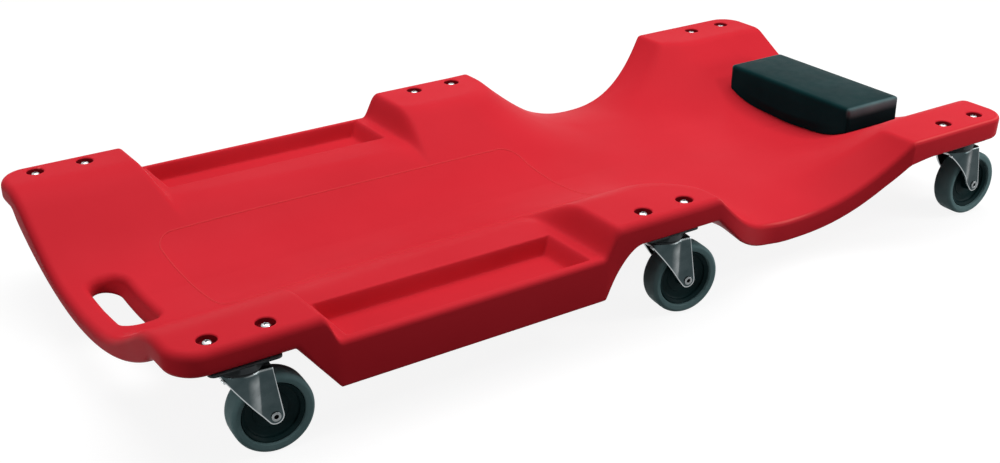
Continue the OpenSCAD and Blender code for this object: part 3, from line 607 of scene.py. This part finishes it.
# Painted highlight along the top rim beside the middle wing's end, the waist and the head wings
red.by_value((0.86, 0.15, 0.14), "painted_rim_highlight", 0.1, 1.5)
red.bump(red.noise(16.0, 2.0), 0.12, 1.0)

# Darker red for the painted shade down in the screw wells
well_painted_shade = Surface("painted_shade_red", (0.17, 0.004, 0.008), (0.21, 0.006, 0.011), 90.0, (0.45, 0.6),
                   specular=0.01, grain=(900.0, 2.0, 0.10, 0.12))

vinyl = Surface("black_vinyl", (0.002, 0.020, 0.022), (0.003, 0.026, 0.028), 30.0,
                (0.30, 0.40), specular=0.02)
# Painted sheen along the top of both short ends of the cover
for way in (-1, 1):
    vinyl.paint_sheen((0.15, 0.24, 0.25), (("Y", way * 96.0, way * 102.5), ("Z", 91.0, 106.0),
                                       ("Z", 109.4, 107.4)), 14.0)
vinyl.bump(vinyl.cell_edges(900.0), 0.25, 0.10)
vinyl.bump(vinyl.noise(420.0, 4.0), 0.12, 0.15)

zinc = Surface("pressed_zinc", (0.028, 0.043, 0.046), (0.050, 0.068, 0.072), 60.0,
               (0.26, 0.36), metallic=1.0, grain=(500.0, 4.0, 0.10, 0.08))
# Painted reflection: a pale band down each ear where its fold would mirror a lamp
zinc.paint_sheen((0.24, 0.265, 0.27),
             (("X", -2.0, 9.5), ("X", 12.5, 10.5), ("Z", 32.0, 48.0), ("Z", 86.0, 74.0)))
# Painted highlight along the bend at the top of each ear, near the front
zinc.paint_sheen((0.26, 0.285, 0.29), (("X", -6.0, 6.0), ("Z", 83.8, 84.8), ("Z", 86.2, 85.9)))
# Painted highlight: a paler strip along the ears' cut edges
zinc.by_value((0.44, 0.47, 0.48), "to_cut", 1.1, 0.5)

plate_zinc = Surface("dark_zinc", (0.006, 0.009, 0.010), (0.012, 0.016, 0.017), 60.0,
                     (0.42, 0.55), specular=0.10, grain=(500.0, 4.0, 0.12, 0.08))
# Painted highlight along the edges that stand out
plate_zinc.paint_edge_highlight((0.07, 0.08, 0.085))

rivet_zinc = Surface("rivet_zinc", (0.15, 0.165, 0.17), (0.26, 0.28, 0.285), 180.0,
                     (0.24, 0.36), metallic=1.0, grain=(900.0, 3.0, 0.08, 0.04))
bright = Surface("bright_zinc", (0.46, 0.47, 0.48), (0.62, 0.63, 0.64), 180.0, (0.18, 0.30),
                 metallic=1.0, grain=(900.0, 3.0, 0.08, 0.04))
rubber = Surface("grey_rubber", (0.120, 0.210, 0.216), (0.155, 0.250, 0.256), 70.0,
                 (0.50, 0.65), specular=0.08, grain=(1100.0, 3.0, 0.14, 0.12))
hub_plastic = Surface("dark_plastic", (0.004, 0.018, 0.019), (0.008, 0.026, 0.028), 60.0,
                      (0.36, 0.48), specular=0.05, grain=(900.0, 2.0, 0.10, 0.08))
sleeve = Surface("pale_sleeve", (0.55, 0.53, 0.46), (0.66, 0.64, 0.56), 90.0, (0.35, 0.5))
board = Surface("plain_board", (0.30, 0.20, 0.11), (0.42, 0.29, 0.17), 30.0, (0.6, 0.75))
board.bump(board.noise(60.0, 6.0, (1, 12, 12)), 0.3, 0.3)

# Deck. The floors and walls of the screw wells take a darker red: painted shade.
SHADE_UNDER, SHADE_OVER, SHADE_ROUND = 0.5, 1.2, 0.6

deck = add_object("deck_moulding", deck_mesh())
wear(deck, red)
deck.data.materials.append(well_painted_shade.mat)
# Painted shade: faces down in the screw wells take the darker red
for face in deck.data.polygons:
    x, y, z = face.center
    if (WING_Z - WELL_DEPTH - SHADE_UNDER) * MM < z < (WING_Z - SHADE_OVER) * MM:
        near = min(math.hypot(x - wx * MM, y - wy * MM) for wx, wy in WELLS)
        face.material_index = int(near < (WELL_D / 2 + SHADE_ROUND) * MM)
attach(deck, "frame")
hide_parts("deck")


# Raised bead round the panel of the lying surface
def bead_mesh():
    foot_x, head_x, foot_y, head_y, turn_r = -402.0, 36.8, 90.5, 84.4, 20.0
    wide, high, sides, spots, turn_steps = 0.8, 0.5, 8, 420, 13
    path = []
    for sx, sy, start in QUARTERS:
        cx, cy = (head_x, head_y) if sx > 0 else (foot_x, foot_y)
        mx, my = cx - sx * turn_r, sy * (cy - turn_r)
        for t in np.radians(np.linspace(start, start + 90, turn_steps + 1)):
            path.append((mx + turn_r * math.cos(t), my + turn_r * math.sin(t)))
    path = np.array(path + path[:1])
    at = run_of(path)
    places = np.linspace(0, at[-1], spots, endpoint=False)
    line = np.column_stack([np.interp(places, at, path[:, k]) for k in (0, 1)])
    way = np.roll(line, -1, 0) - np.roll(line, 1, 0)
    way /= np.linalg.norm(way, axis=1)[:, None]
    out = np.column_stack([way[:, 1], -way[:, 0]])
    points = []
    for p, o in zip(line, out):
        for k in range(sides):
            t = 2 * math.pi * k / sides
            q = p + o * wide * math.cos(t)
            z = float(top_z(q[0] + DECK_L / 2, q[1])) + high * math.sin(t)
            points.append((q[0], q[1], z))
    faces = [(i * sides + k, i * sides + (k + 1) % sides,
              (i + 1) % spots * sides + (k + 1) % sides, (i + 1) % spots * sides + k)
             for i in range(spots) for k in range(sides)]
    return make_mesh("panel_bead", points, faces)


bead = add_object("deck_panel_bead", bead_mesh())
wear(bead, red)
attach(bead, "frame")


# Headrest: sizes of its cover, of the little that it swells, and of its folded corners
COVER_IN, COVER_GAP, COVER_VOXEL = 1.5, 0.4, 4.0
PINNED_H, SWELL, SWELL_FRAMES = 3.0, 1.2, 20
BOX_R, BOX_POWER, BOX_SHARE = 8.0, 4.5, 0.85
CROWN, CROWN_DROP, CROWN_FROM, CROWN_L = 1.2, 0.8, 0.6, 0.35
FOLD_IN, FOLD_DEPTH, FOLD_W, FOLD_TOP, FOLD_L, FOLD_SIDE = 5.5, 1.5, 0.9, 3.0, 6.0, 0.7
HEM_IN, HEM_H, HEM_X, HEM_Y = 4.5, 15.0, (20.0, 15.0), (25.0, 60.0)


def rounded_loop(a, b, r):
    """Points round a rounded rectangle of half sizes a and b."""
    turns, cols, ends = 6, 14, 6

    def bend(sx, sy, start):
        turn = [math.radians(start + 90 * i / turns) for i in range(turns + 1)]
        return [(sx * (a - r) + r * math.cos(t), sy * (b - r) + r * math.sin(t)) for t in turn]

    bends = [bend(*q) for q in QUARTERS]
    out = []
    for here, after, n in zip(bends, bends[1:] + bends[:1], (ends, cols, ends, cols)):
        (x0, y0), (x1, y1) = here[-1], after[0]
        out += here + [(mix(x0, x1, k / n), mix(y0, y1, k / n)) for k in range(1, n)]
    return np.array(out)


def pad_bottom(x, y):
    return top_z(x + PAD_S, y) + COVER_GAP


def headrest_start(inset):
    """A closed block, inset on every side, whose underside follows the deck."""
    top = PAD_Z - 1.0 - inset * 0.6
    a, b, edge, r, foot_in = PAD_L / 2 - inset, PAD_W / 2 - inset, 4.0, 4.5, 0.6
    rings = []
    for f in (0.12, 0.4, 0.7, 0.92):
        loop = rounded_loop(a * f, b - a * (1 - f), r * f)
        rings.append(np.column_stack([loop, pad_bottom(loop[:, 0], loop[:, 1])]))
    base = rounded_loop(a, b, r)
    foot = pad_bottom(base[:, 0], base[:, 1])
    rings.append(np.column_stack([rounded_loop(a - foot_in, b - foot_in, r), foot]))
    for t in (0.08, 0.3, 0.5, 0.7, 0.9):
        rings.append(np.column_stack([base, mix(foot, top - edge, t)]))
    for t in quarter_turn(4):
        d = edge * (1 - math.cos(t))
        loop = rounded_loop(a - d, b - d, r - d * 0.4)
        rings.append(np.column_stack([loop, np.full(len(loop), top - edge + edge * math.sin(t))]))
    for f in (0.7, 0.4, 0.12):
        loop = rounded_loop((a - edge) * f, (b - edge) - (a - edge) * (1 - f), 2.9 * f)
        rings.append(np.column_stack([loop, np.full(len(loop), top)]))
    n = len(base)
    points = np.concatenate(rings)
    faces = [(i * n + j, i * n + (j + 1) % n, (i + 1) * n + (j + 1) % n, (i + 1) * n + j)
             for i in range(len(rings) - 1) for j in range(n)]
    faces += [tuple(range(n)), tuple((len(rings) - 1) * n + k for k in range(n))]
    return make_mesh("headrest_start", points, faces)


def coords_of(mesh):
    co = np.zeros(len(mesh.vertices) * 3)
    mesh.vertices.foreach_get("co", co)
    return co.reshape(-1, 3)


def set_coords(mesh, co):
    mesh.vertices.foreach_set("co", np.asarray(co, float).ravel())
    mesh.update()


def applied(obj):
    """Replaces the object's mesh with what its modifiers make of it."""
    graph = bpy.context.evaluated_depsgraph_get()
    mesh = bpy.data.meshes.new_from_object(obj.evaluated_get(graph))
    obj.modifiers.clear()
    obj.data = mesh


def squared(co, core, inside, power, share):
    """Tightens the round edges: each point moves by a share of its way to a box with rounded
    edges, which lies outside a core box. The core has no lower end."""
    way = co - np.clip(co, [-core[0], -core[1], -1e4], core)
    square = (np.abs(way) ** power).sum(1) ** (1 / power)
    ratio = inside / np.maximum(square, 1e-9)
    return co + way * (share * (np.clip(ratio, 0.6, 1.8) - 1))[:, None] * (square > 1.0)[:, None]


def swell(obj):
    """Blows the cover up as a cloth that is pinned along its foot, and keeps the change small."""
    start = coords_of(obj.data)
    x, y, z = start.T / MM
    pins = obj.vertex_groups.new(name="pinned")
    for k in np.nonzero(z - pad_bottom(x, y) < PINNED_H)[0]:
        pins.add([int(k)], 1.0, "REPLACE")
    cloth = obj.modifiers.new("Cloth", "CLOTH").settings
    cloth.use_pressure = True
    cloth.uniform_pressure_force = 4.0
    cloth.effector_weights.gravity = 0.0
    cloth.vertex_group_mass = "pinned"
    cloth.tension_stiffness = 30
    cloth.compression_stiffness = 30
    cloth.bending_stiffness = 1.0
    cloth.quality = 6
    for step in range(1, SWELL_FRAMES + 1):
        bpy.context.scene.frame_set(step)
    applied(obj)
    moved = coords_of(obj.data) - start
    length = np.linalg.norm(moved, axis=1)
    cap = SWELL * MM
    moved *= (cap * np.tanh(length / cap) / np.maximum(length, 1e-9))[:, None]
    set_coords(obj.data, start + moved)
    bpy.context.scene.frame_set(1)


def fitted(co):
    """Fits the swollen form to the CAD's box, with round edges and a slight crown."""
    low, high = co.min(0), co.max(0)
    for k, size in enumerate((PAD_L, PAD_W)):
        co[:, k] = (co[:, k] - (low[k] + high[k]) / 2) * size / (high[k] - low[k])
    lift = within((co[:, 2] - low[2]) / (high[2] - low[2]))
    co[:, 2] = co[:, 2] + (PAD_Z - high[2]) * ease(lift)
    core = np.array([PAD_L / 2 - BOX_R, PAD_W / 2 - BOX_R, PAD_Z - BOX_R])
    co = squared(co, core, BOX_R, BOX_POWER, BOX_SHARE)
    crown = CROWN * (1 - (2 * co[:, 0] / PAD_L) ** 2) * (1 - (2 * co[:, 1] / PAD_W) ** 4)
    co[:, 2] += (crown - CROWN_DROP) * ease((lift - CROWN_FROM) / CROWN_L)
    return co


def fold_corners(co):
    """Folds the cover in along a line at each of the four corners."""
    a, b = PAD_L / 2 - FOLD_IN, PAD_W / 2 - FOLD_IN
    for sx, sy in ((-1, -1), (-1, 1), (1, -1), (1, 1)):
        dx, dy = (co[:, 0] - sx * a) * sx, (co[:, 1] - sy * b) * sy
        across = (dx - dy) / math.sqrt(2)
        line = hump(across, 0.0, FOLD_W) * ease((np.minimum(dx, dy) + 1.0) / 2.0)
        pull = FOLD_DEPTH * line * ease((PAD_Z - FOLD_TOP - co[:, 2]) / FOLD_L)
        co[:, 0] -= sx * pull * FOLD_SIDE
        co[:, 1] -= sy * pull * FOLD_SIDE


def turn_hem(co):
    """Turns the lower hem in where the deck drops away below the middle."""
    above = co[:, 2] - pad_bottom(co[:, 0], co[:, 1])
    tuck = HEM_IN * (1 - ease(above / HEM_H)) * (1 - ease(rise(np.abs(co[:, 1]), *HEM_Y)))
    co[:, 0] -= np.sign(co[:, 0]) * tuck * ease(rise(np.abs(co[:, 0]), *HEM_X))
    co[:, 2] = np.maximum(co[:, 2], pad_bottom(co[:, 0], co[:, 1]) - 0.1)


def headrest_mesh():
    obj = add_object("headrest_cover", headrest_start(COVER_IN))
    bpy.context.view_layer.objects.active = obj
    obj.select_set(True)
    obj.data.remesh_voxel_size = COVER_VOXEL * MM
    bpy.ops.object.voxel_remesh()
    swell(obj)
    smooth = obj.modifiers.new("Subdivision", "SUBSURF")
    smooth.levels = 2
    applied(obj)
    co = fitted(coords_of(obj.data) / MM)
    fold_corners(co)
    turn_hem(co)
    set_coords(obj.data, (co + [PAD_S - DECK_L / 2, 0, 0]) * MM)
    obj.data.shade_smooth()
    return obj


cover = headrest_mesh()
wear(cover, vinyl)
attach(cover, "frame")
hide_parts("headrest_cushion")


# Casters, in coordinates of their own: the kingpin is at x 0 and y 0, and the wheel trails
# along x
def lathe(profile, steps, about="axle"):
    """Points and faces of a closed profile of (radius, height), turned about the axle or
    about the kingpin."""
    n, points, faces = len(profile), [], []
    for k in range(steps):
        t, m = 2 * math.pi * k / steps, (k + 1) % steps
        for i, (r, h) in enumerate(profile):
            c, v, j = r * math.cos(t), r * math.sin(t), (i + 1) % n
            points.append((TRAIL + c, h, AXLE_Z + v) if about == "axle" else (c, v, h))
            faces.append((k * n + i, k * n + j, m * n + j, m * n + i))
    return points, faces


def arc(cx, cy, r, start, end, steps):
    return [(cx + r * math.cos(math.radians(mix(start, end, i / steps))),
             cy + r * math.sin(math.radians(mix(start, end, i / steps))))
            for i in range(steps + 1)]


def mirrored(profile, single=0):
    """The profile and its mirror image. The first single points lie on the middle plane."""
    return profile + [(r, -h) for r, h in reversed(profile[single:])]


HUB_R = WHEEL_D / 2 - TYRE_T
RIM_FACE = TYRE_W / 2 * 0.86


def tyre_mesh():
    """A tyre with a slightly domed tread and sides that slope in to the hub's rim."""
    face, r, out = TYRE_W / 2, 4.6, WHEEL_D / 2
    half = ([(out - 0.1, face * 0.35)] + arc(out - 0.25 - r, face - r, r, 6, 80, 9)
            + arc(HUB_R + 1.7, RIM_FACE - 0.3, 0.9, 76, 170, 4) + [(HUB_R + 0.1, RIM_FACE - 3.0)])
    return make_mesh("tyre", *lathe(mirrored(half), 96), sharp=50)


def hub_mesh():
    """A hub whose rim runs in with a wide curve to a deep web with one faint ring."""
    face, boss, bore, web, ring, boss_face = RIM_FACE - 1.6, 7.5, 6.3, 3.2, 16.5, 13.0
    half = ([(HUB_R, face - 0.6), (HUB_R - 0.5, face), (HUB_R - 1.3, face - 0.1)]
            + [(HUB_R - 2.0, face - 0.9), (HUB_R - 3.6, web + 3.6)]
            + arc(HUB_R - 6.4, web + 3.2, 3.0, -8, -90, 5)
            + [(ring + 1.9, web + 0.2)] + arc(ring, web + 0.1, 0.8, 20, 160, 5)
            + [(boss + 3.0, web + 0.2), (boss + 1.2, web + 1.0), (boss + 0.5, web + 3.0)]
            + [(boss, boss_face - 0.4), (boss - 0.4, boss_face), (bore, boss_face)])
    return make_mesh("hub", *lathe(mirrored(half), 96), sharp=40)


def rivet_mesh():
    """A hollow rivet across the ears, with both lips rolled over."""
    lip, bore, shank, out = 15.5, 2.0, 4.0, 4.5
    half = ([(bore, 0.0), (bore, lip + 0.4)] + arc(bore + 0.9, lip + 0.7, 0.9, 180, 70, 5)
            + arc(out - 0.7, lip + 0.7, 0.7, 80, -80, 6) + [(shank, lip - 0.2), (shank, 0.5)])
    return make_mesh("rivet", *lathe(mirrored(half, 1), 48), sharp=50)


CROWN_R, STEEL_T, WEB_Z, RACE_Z = 19.5, 2.0, 86.1, 88.1
EAR_Y, EAR_BACK, BOSS_R, BEND_R, LIP_Z = 15.5, 24.5, 7.6, 3.0, 81.4
PIN_HOLE_R, AXLE_HOLE_R, RACE_FOOT_Z = 5.4, 4.05, 85.2
FRONT_TOP = (-20.5, 84.9)


def plan_line():
    """Half of the fork's outline from above: from the front round the crown, then along an
    ear. Gives back places along the line, its points and its outward directions."""
    turn = np.radians(np.linspace(180, 40, 241))
    ear = np.linspace(CROWN_R * math.cos(turn[-1]) + 0.2, EAR_BACK + 14.0, 120)
    x = np.concatenate([CROWN_R * np.cos(turn), ear])
    round_y = np.sqrt(np.maximum(0.0, CROWN_R ** 2 - x * x))
    y = np.where(x < 0, round_y, -soft_min(-round_y, -EAR_Y, 2.2))
    p = np.column_stack([x, y])
    at = run_of(p)
    way = np.gradient(p, at, axis=0)
    out = np.column_stack([-way[:, 1], way[:, 0]])
    out /= np.linalg.norm(out, axis=1)[:, None]
    return at, p, out


def touch_turn(px, pz, side):
    """The direction, from the axle, in which a line from a point touches the ear's round end."""
    dx, dz = TRAIL - px, AXLE_Z - pz
    return math.atan2(dz, dx) + side * (math.pi / 2 + math.asin(BOSS_R / math.hypot(dx, dz)))


def fork_shell():
    """Both halves of the pressing's outer skin, which meet on the front's middle line."""
    at, p, out = plan_line()
    cols, walls, lip_steps, end_steps = 84, 26, 60, 40

    def spot(u, inset):
        q = np.column_stack([np.interp(u, at, p[:, k]) for k in (0, 1)])
        n = np.column_stack([np.interp(u, at, out[:, k]) for k in (0, 1)])
        return q - n * np.reshape(inset, (-1, 1))

    def place_of(x):
        return float(np.interp(x, p[:, 0], at))

    share = np.linspace(0, 1, cols + 1)
    top_u = place_of(EAR_BACK) * share
    # The lower edge: the lip, the slanted front, the round end and its rear touching point
    start, end = touch_turn(*FRONT_TOP, -1), touch_turn(EAR_BACK, WEB_Z, 1)
    ax, az = TRAIL + BOSS_R * math.cos(start), AXLE_Z + BOSS_R * math.sin(start)
    slope = (ax - FRONT_TOP[0]) / (az - FRONT_TOP[1])
    lip_x = FRONT_TOP[0] + slope * (LIP_Z - FRONT_TOP[1])
    edge = [(0.0, LIP_Z)] + [(place_of(mix(lip_x, ax, t)), mix(LIP_Z, az, t))
                             for t in np.linspace(0, 1, lip_steps)]
    # The rear touching point comes after the front one on the way round the end
    while end > start:
        end -= 2 * math.pi
    while end < start - 2 * math.pi:
        end += 2 * math.pi
    edge += [(place_of(TRAIL + BOSS_R * math.cos(t)), AXLE_Z + BOSS_R * math.sin(t))
             for t in np.linspace(start, end + 2 * math.pi, end_steps)[1:]]
    edge = np.array(edge)
    # Points lie closer together round the end than along the front
    weight = np.where(edge[1:, 1] < az + 1, 2.5, 1)
    dense = np.concatenate([[0.0], np.cumsum(np.diff(run_of(edge)) * weight)])
    low = np.column_stack([np.interp(share * dense[-1], dense, edge[:, k]) for k in (0, 1)])
    halves = []
    for side in (-1, 1):
        rows = []
        for t in quarter_turn(6):
            q = spot(top_u, BEND_R * (1 - math.sin(t)))
            q[-1, 0] = EAR_BACK
            z = np.full(cols + 1, WEB_Z - BEND_R * (1 - math.cos(t)))
            rows.append(np.column_stack([q[:, 0], side * q[:, 1], z]))
        for t in np.linspace(0, 1, walls + 1)[1:]:
            q = spot(mix(top_u, low[:, 0], t), 0.0)
            z = mix(WEB_Z - BEND_R, low[:, 1], t)
            rows.append(np.column_stack([q[:, 0], side * q[:, 1], z]))
        halves.append(np.array(rows))
    return halves


def fork_mesh():
    """The fork: one bent sheet with a flat web, two ears, and the lower race on the web."""
    left, right = fork_shell()
    skin = Skin()
    whole = np.concatenate([left[:, ::-1], right[:, 1:]], 1)
    grid = skin.add(whole)
    skin.quads(grid)
    # The web: from the bend's inner line and the straight rear edge in to the pin's hole
    line = whole[0]
    back = np.linspace(line[-1], line[0], 24)[1:-1]
    last = np.concatenate([grid[0], skin.add(back)])
    rim = np.concatenate([line, back])
    away = np.linalg.norm(rim[:, :2], axis=1)
    for t in (*CLOSING, 1.0):
        ring = rim.copy()
        ring[:, :2] *= (mix(away, PIN_HOLE_R, t) / away)[:, None]
        ids = skin.add(ring)
        skin.quads(np.array([last, ids]), closed=True)
        last = ids
    obj = add_object("fork_work", make_mesh("fork_sheet", skin.points, skin.faces))
    sheet = bmesh.new()
    sheet.from_mesh(obj.data)

    def near_crown(face):
        middle = face.calc_center_median()
        return middle.z - middle.xy.length

    if max(sheet.faces, key=near_crown).normal.z < 0:
        bmesh.ops.reverse_faces(sheet, faces=sheet.faces)
    sheet.to_mesh(obj.data)
    sheet.free()
    for surface in (zinc, plate_zinc):
        obj.data.materials.append(surface.mat)
    shell = obj.modifiers.new("Solidify", "SOLIDIFY")
    shell.thickness, shell.offset = STEEL_T * MM, -1.0
    hole = [(0.01, 22.0), (AXLE_HOLE_R, 22.0), (AXLE_HOLE_R, -22.0), (0.01, -22.0)]
    bore = add_object("bore_work", make_mesh("bore_work", *lathe(hole, 48)))
    cut = obj.modifiers.new("Boolean", "BOOLEAN")
    cut.operation, cut.solver, cut.object = "DIFFERENCE", "EXACT", bore
    bevel = obj.modifiers.new("Bevel", "BEVEL")
    bevel.width, bevel.segments, bevel.angle_limit = 0.35 * MM, 2, math.radians(50)
    applied(obj)
    bpy.data.objects.remove(bore)
    race = ([(PIN_HOLE_R, RACE_FOOT_Z), (PIN_HOLE_R, RACE_Z - 0.1), (17.0, RACE_Z - 0.1)]
            + arc(17.4, RACE_Z - 1.3, 1.2, 80, 0, 5) + [(18.6, RACE_FOOT_Z)])
    top = add_object("race_work", make_mesh("race", *lathe(race, 72, "kingpin"), sharp=45))
    for o in bpy.context.selected_objects:
        o.select_set(False)
    obj.select_set(True)
    top.select_set(True)
    bpy.context.view_layer.objects.active = obj
    bpy.ops.object.join()
    mesh = obj.data
    bpy.data.objects.remove(obj)
    mesh.shade_smooth()
    mesh.set_sharp_from_angle(angle=math.radians(40))
    # Painted shade: the web and the race take the dark zinc, where the caster plate shades them
    for face in mesh.polygons:
        face.material_index = int(face.center.z > (WEB_Z - 0.6) * MM)
    give_values(mesh, "to_cut", gap_to_cut(coords_of(mesh) / MM))
    return mesh


def gap_to_cut(co):
    """Distances in an ear from its slanted front, its round end and its rear edge."""
    start, end = touch_turn(*FRONT_TOP, -1), touch_turn(EAR_BACK, WEB_Z, 1)
    x, z = co[:, 0] - TRAIL, co[:, 2] - AXLE_Z
    front, rear = (BOSS_R - x * math.cos(t) - z * math.sin(t) for t in (start, end))
    turn = np.arctan2(z, x)
    return np.where((turn > start) & (turn < end), BOSS_R - np.hypot(x, z),
                    np.minimum(front, rear))


MESHES = {"fork": fork_mesh(), "axle": rivet_mesh(), "tyre": tyre_mesh(), "hub": hub_mesh()}
FINISH = {"fork": (zinc, "forks"), "axle": (rivet_zinc, "axles"), "tyre": (rubber, "tyres"),
          "hub": (hub_plastic, "hubs")}
PIECE = {"fork": "fork_pressing", "axle": "axle_rivet", "tyre": "tyre_ring", "hub": "hub_wheel"}
for part in ("axle", "tyre", "hub"):
    MESHES[part].materials.append(FINISH[part][0].mat)
for i, corner in enumerate(CORNERS):
    row, side = i // 2, (-1 if i % 2 == 0 else 1)
    place = (Matrix.Translation(((CASTER_S[row] - DECK_L / 2) * MM, side * CASTER_Y * MM, 0))
             @ Matrix.Rotation(math.radians(-SWIVELS[row]), 4, "Z"))
    for part, mesh in MESHES.items():
        obj = add_object(f"{PIECE[part]}_{corner}", mesh)
        obj.matrix_world = place
        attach(obj, ("swivel_" if part in ("fork", "axle") else "wheel_") + corner)
        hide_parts(f"{part}_{corner}")

# CAD nodes that stay: they get a finish, and all but the race balls, the board and the bushes a
# fine bevel
KEPT = {"caster_screws": bright, "caster_nuts": bright, "headrest_board": board,
        "headrest_screws": plate_zinc}
for corner in CORNERS:
    KEPT.update({f"caster_plate_{corner}": plate_zinc, f"kingpin_{corner}": bright,
                 f"race_balls_{corner}": bright, f"bush_{corner}": sleeve})
for name, surface in KEPT.items():
    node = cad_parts[name]
    wear(node, surface)
    if not name.startswith(("race_balls", "headrest_board", "bush")):
        bevel = node.modifiers.new("Bevel", "BEVEL")
        bevel.width, bevel.segments = 0.25 * MM, 2
        bevel.limit_method, bevel.angle_limit = "ANGLE", math.radians(40)


# Floor, light and camera
DIRECT_RAYS = ("Is Camera Ray", "Is Glossy Ray", "Is Transmission Ray")
WORLD_LIGHT, FLOOR_GREY, FLOOR_GLOW = 0.10, 0.16, 0.89
FLOOR_HALF, FLOOR_Z = 30000.0, -0.2
LIGHTS = (("top_light", (0.30, 0.40, 2.3), (0.0, 0.0, 0.1), (2.6, 1.8), 58.0),
          ("foot_light", (-2.2, -0.5, 0.9), (0.0, 0.0, 0.08), (0.8, 0.5), 7.0),
          ("head_light", (1.25, -0.95, 1.5), (0.3, -0.1, 0.1), (0.35, 0.35), 6.0),
          ("low_light", (1.15, -1.0, 0.35), (0.42, -0.2, 0.05), (0.5, 0.35), 4.0))
CAMERA_AT, CAMERA_TURN = (-0.8651, -1.2034, 0.6966), (-34.5348, 24.8367, 0.2888)
CAMERA_LENS, CAMERA_SENSOR = 51.97, 36.0


def light_path_mix(nodes, links, plain, seen):
    """A shader that is plain for diffuse rays, and seen where rays look straight at it."""
    path = nodes.new("ShaderNodeLightPath")
    total = path.outputs[DIRECT_RAYS[0]]
    for name in DIRECT_RAYS[1:]:
        add = nodes.new("ShaderNodeMath")
        add.operation = "MAXIMUM"
        links.new(total, add.inputs[0])
        links.new(path.outputs[name], add.inputs[1])
        total = add.outputs[0]
    blend = nodes.new("ShaderNodeMixShader")
    links.new(total, blend.inputs[0])
    links.new(plain, blend.inputs[1])
    links.new(seen, blend.inputs[2])
    return blend.outputs[0]


def studio():
    scene = bpy.context.scene
    scene.view_settings.view_transform = "Standard"
    world = bpy.data.worlds.new("studio_world")
    scene.world = world
    world.use_nodes = True
    nodes, links = world.node_tree.nodes, world.node_tree.links
    dim = nodes["Background"]
    set_input(dim, Color=(0.9, 0.95, 1.0, 1.0), Strength=WORLD_LIGHT)
    white = nodes.new("ShaderNodeBackground")
    set_input(white, Color=(1, 1, 1, 1), Strength=1.0)
    links.new(light_path_mix(nodes, links, dim.outputs[0], white.outputs[0]),
              nodes["World Output"].inputs["Surface"])

    spots = [(sx * FLOOR_HALF, sy * FLOOR_HALF, FLOOR_Z)
             for sx, sy in ((-1, -1), (1, -1), (1, 1), (-1, 1))]
    floor = add_object("studio_floor", make_mesh("studio_floor", spots, [(0, 1, 2, 3)]))
    mat = bpy.data.materials.new("pale_floor")
    mat.use_nodes = True
    nodes, links = mat.node_tree.nodes, mat.node_tree.links
    body = nodes["Principled BSDF"]
    set_input(body, Base_Color=(FLOOR_GREY, FLOOR_GREY, FLOOR_GREY, 1), Roughness=0.9,
              Specular_IOR_Level=0.0)
    glow = nodes.new("ShaderNodeEmission")
    set_input(glow, Color=(1, 1, 1, 1), Strength=FLOOR_GLOW)
    both = nodes.new("ShaderNodeAddShader")
    links.new(body.outputs[0], both.inputs[0])
    links.new(glow.outputs[0], both.inputs[1])
    links.new(light_path_mix(nodes, links, body.outputs[0], both.outputs[0]),
              nodes["Material Output"].inputs["Surface"])
    floor.data.materials.append(mat)

    for name, at, aim, size, power in LIGHTS:
        data = bpy.data.lights.new(name, "AREA")
        data.shape = "RECTANGLE"
        data.size, data.size_y = size
        data.energy = power
        lamp = bpy.data.objects.new(name, data)
        scene.collection.objects.link(lamp)
        lamp.location = at
        lamp.rotation_euler = (Vector(aim) - Vector(at)).to_track_quat("-Z", "Y").to_euler()


def camera():
    az, el, roll = (math.radians(v) for v in CAMERA_TURN)
    back = Vector((math.sin(az) * math.cos(el), -math.cos(az) * math.cos(el), math.sin(el)))
    right = Vector((math.cos(az), math.sin(az), 0.0))
    up = back.cross(right)
    turned_right = right * math.cos(roll) + up * math.sin(roll)
    turned_up = up * math.cos(roll) - right * math.sin(roll)
    data = bpy.data.cameras.new("photo_camera")
    data.sensor_width, data.lens = CAMERA_SENSOR, CAMERA_LENS
    data.clip_start, data.clip_end = 0.05, 100.0
    cam = bpy.data.objects.new("photo_camera", data)
    bpy.context.scene.collection.objects.link(cam)
    cam.matrix_world = Matrix.Translation(CAMERA_AT) @ Matrix(
        (turned_right, turned_up, back)).transposed().to_4x4()
    bpy.context.scene.camera = cam


studio()
camera()
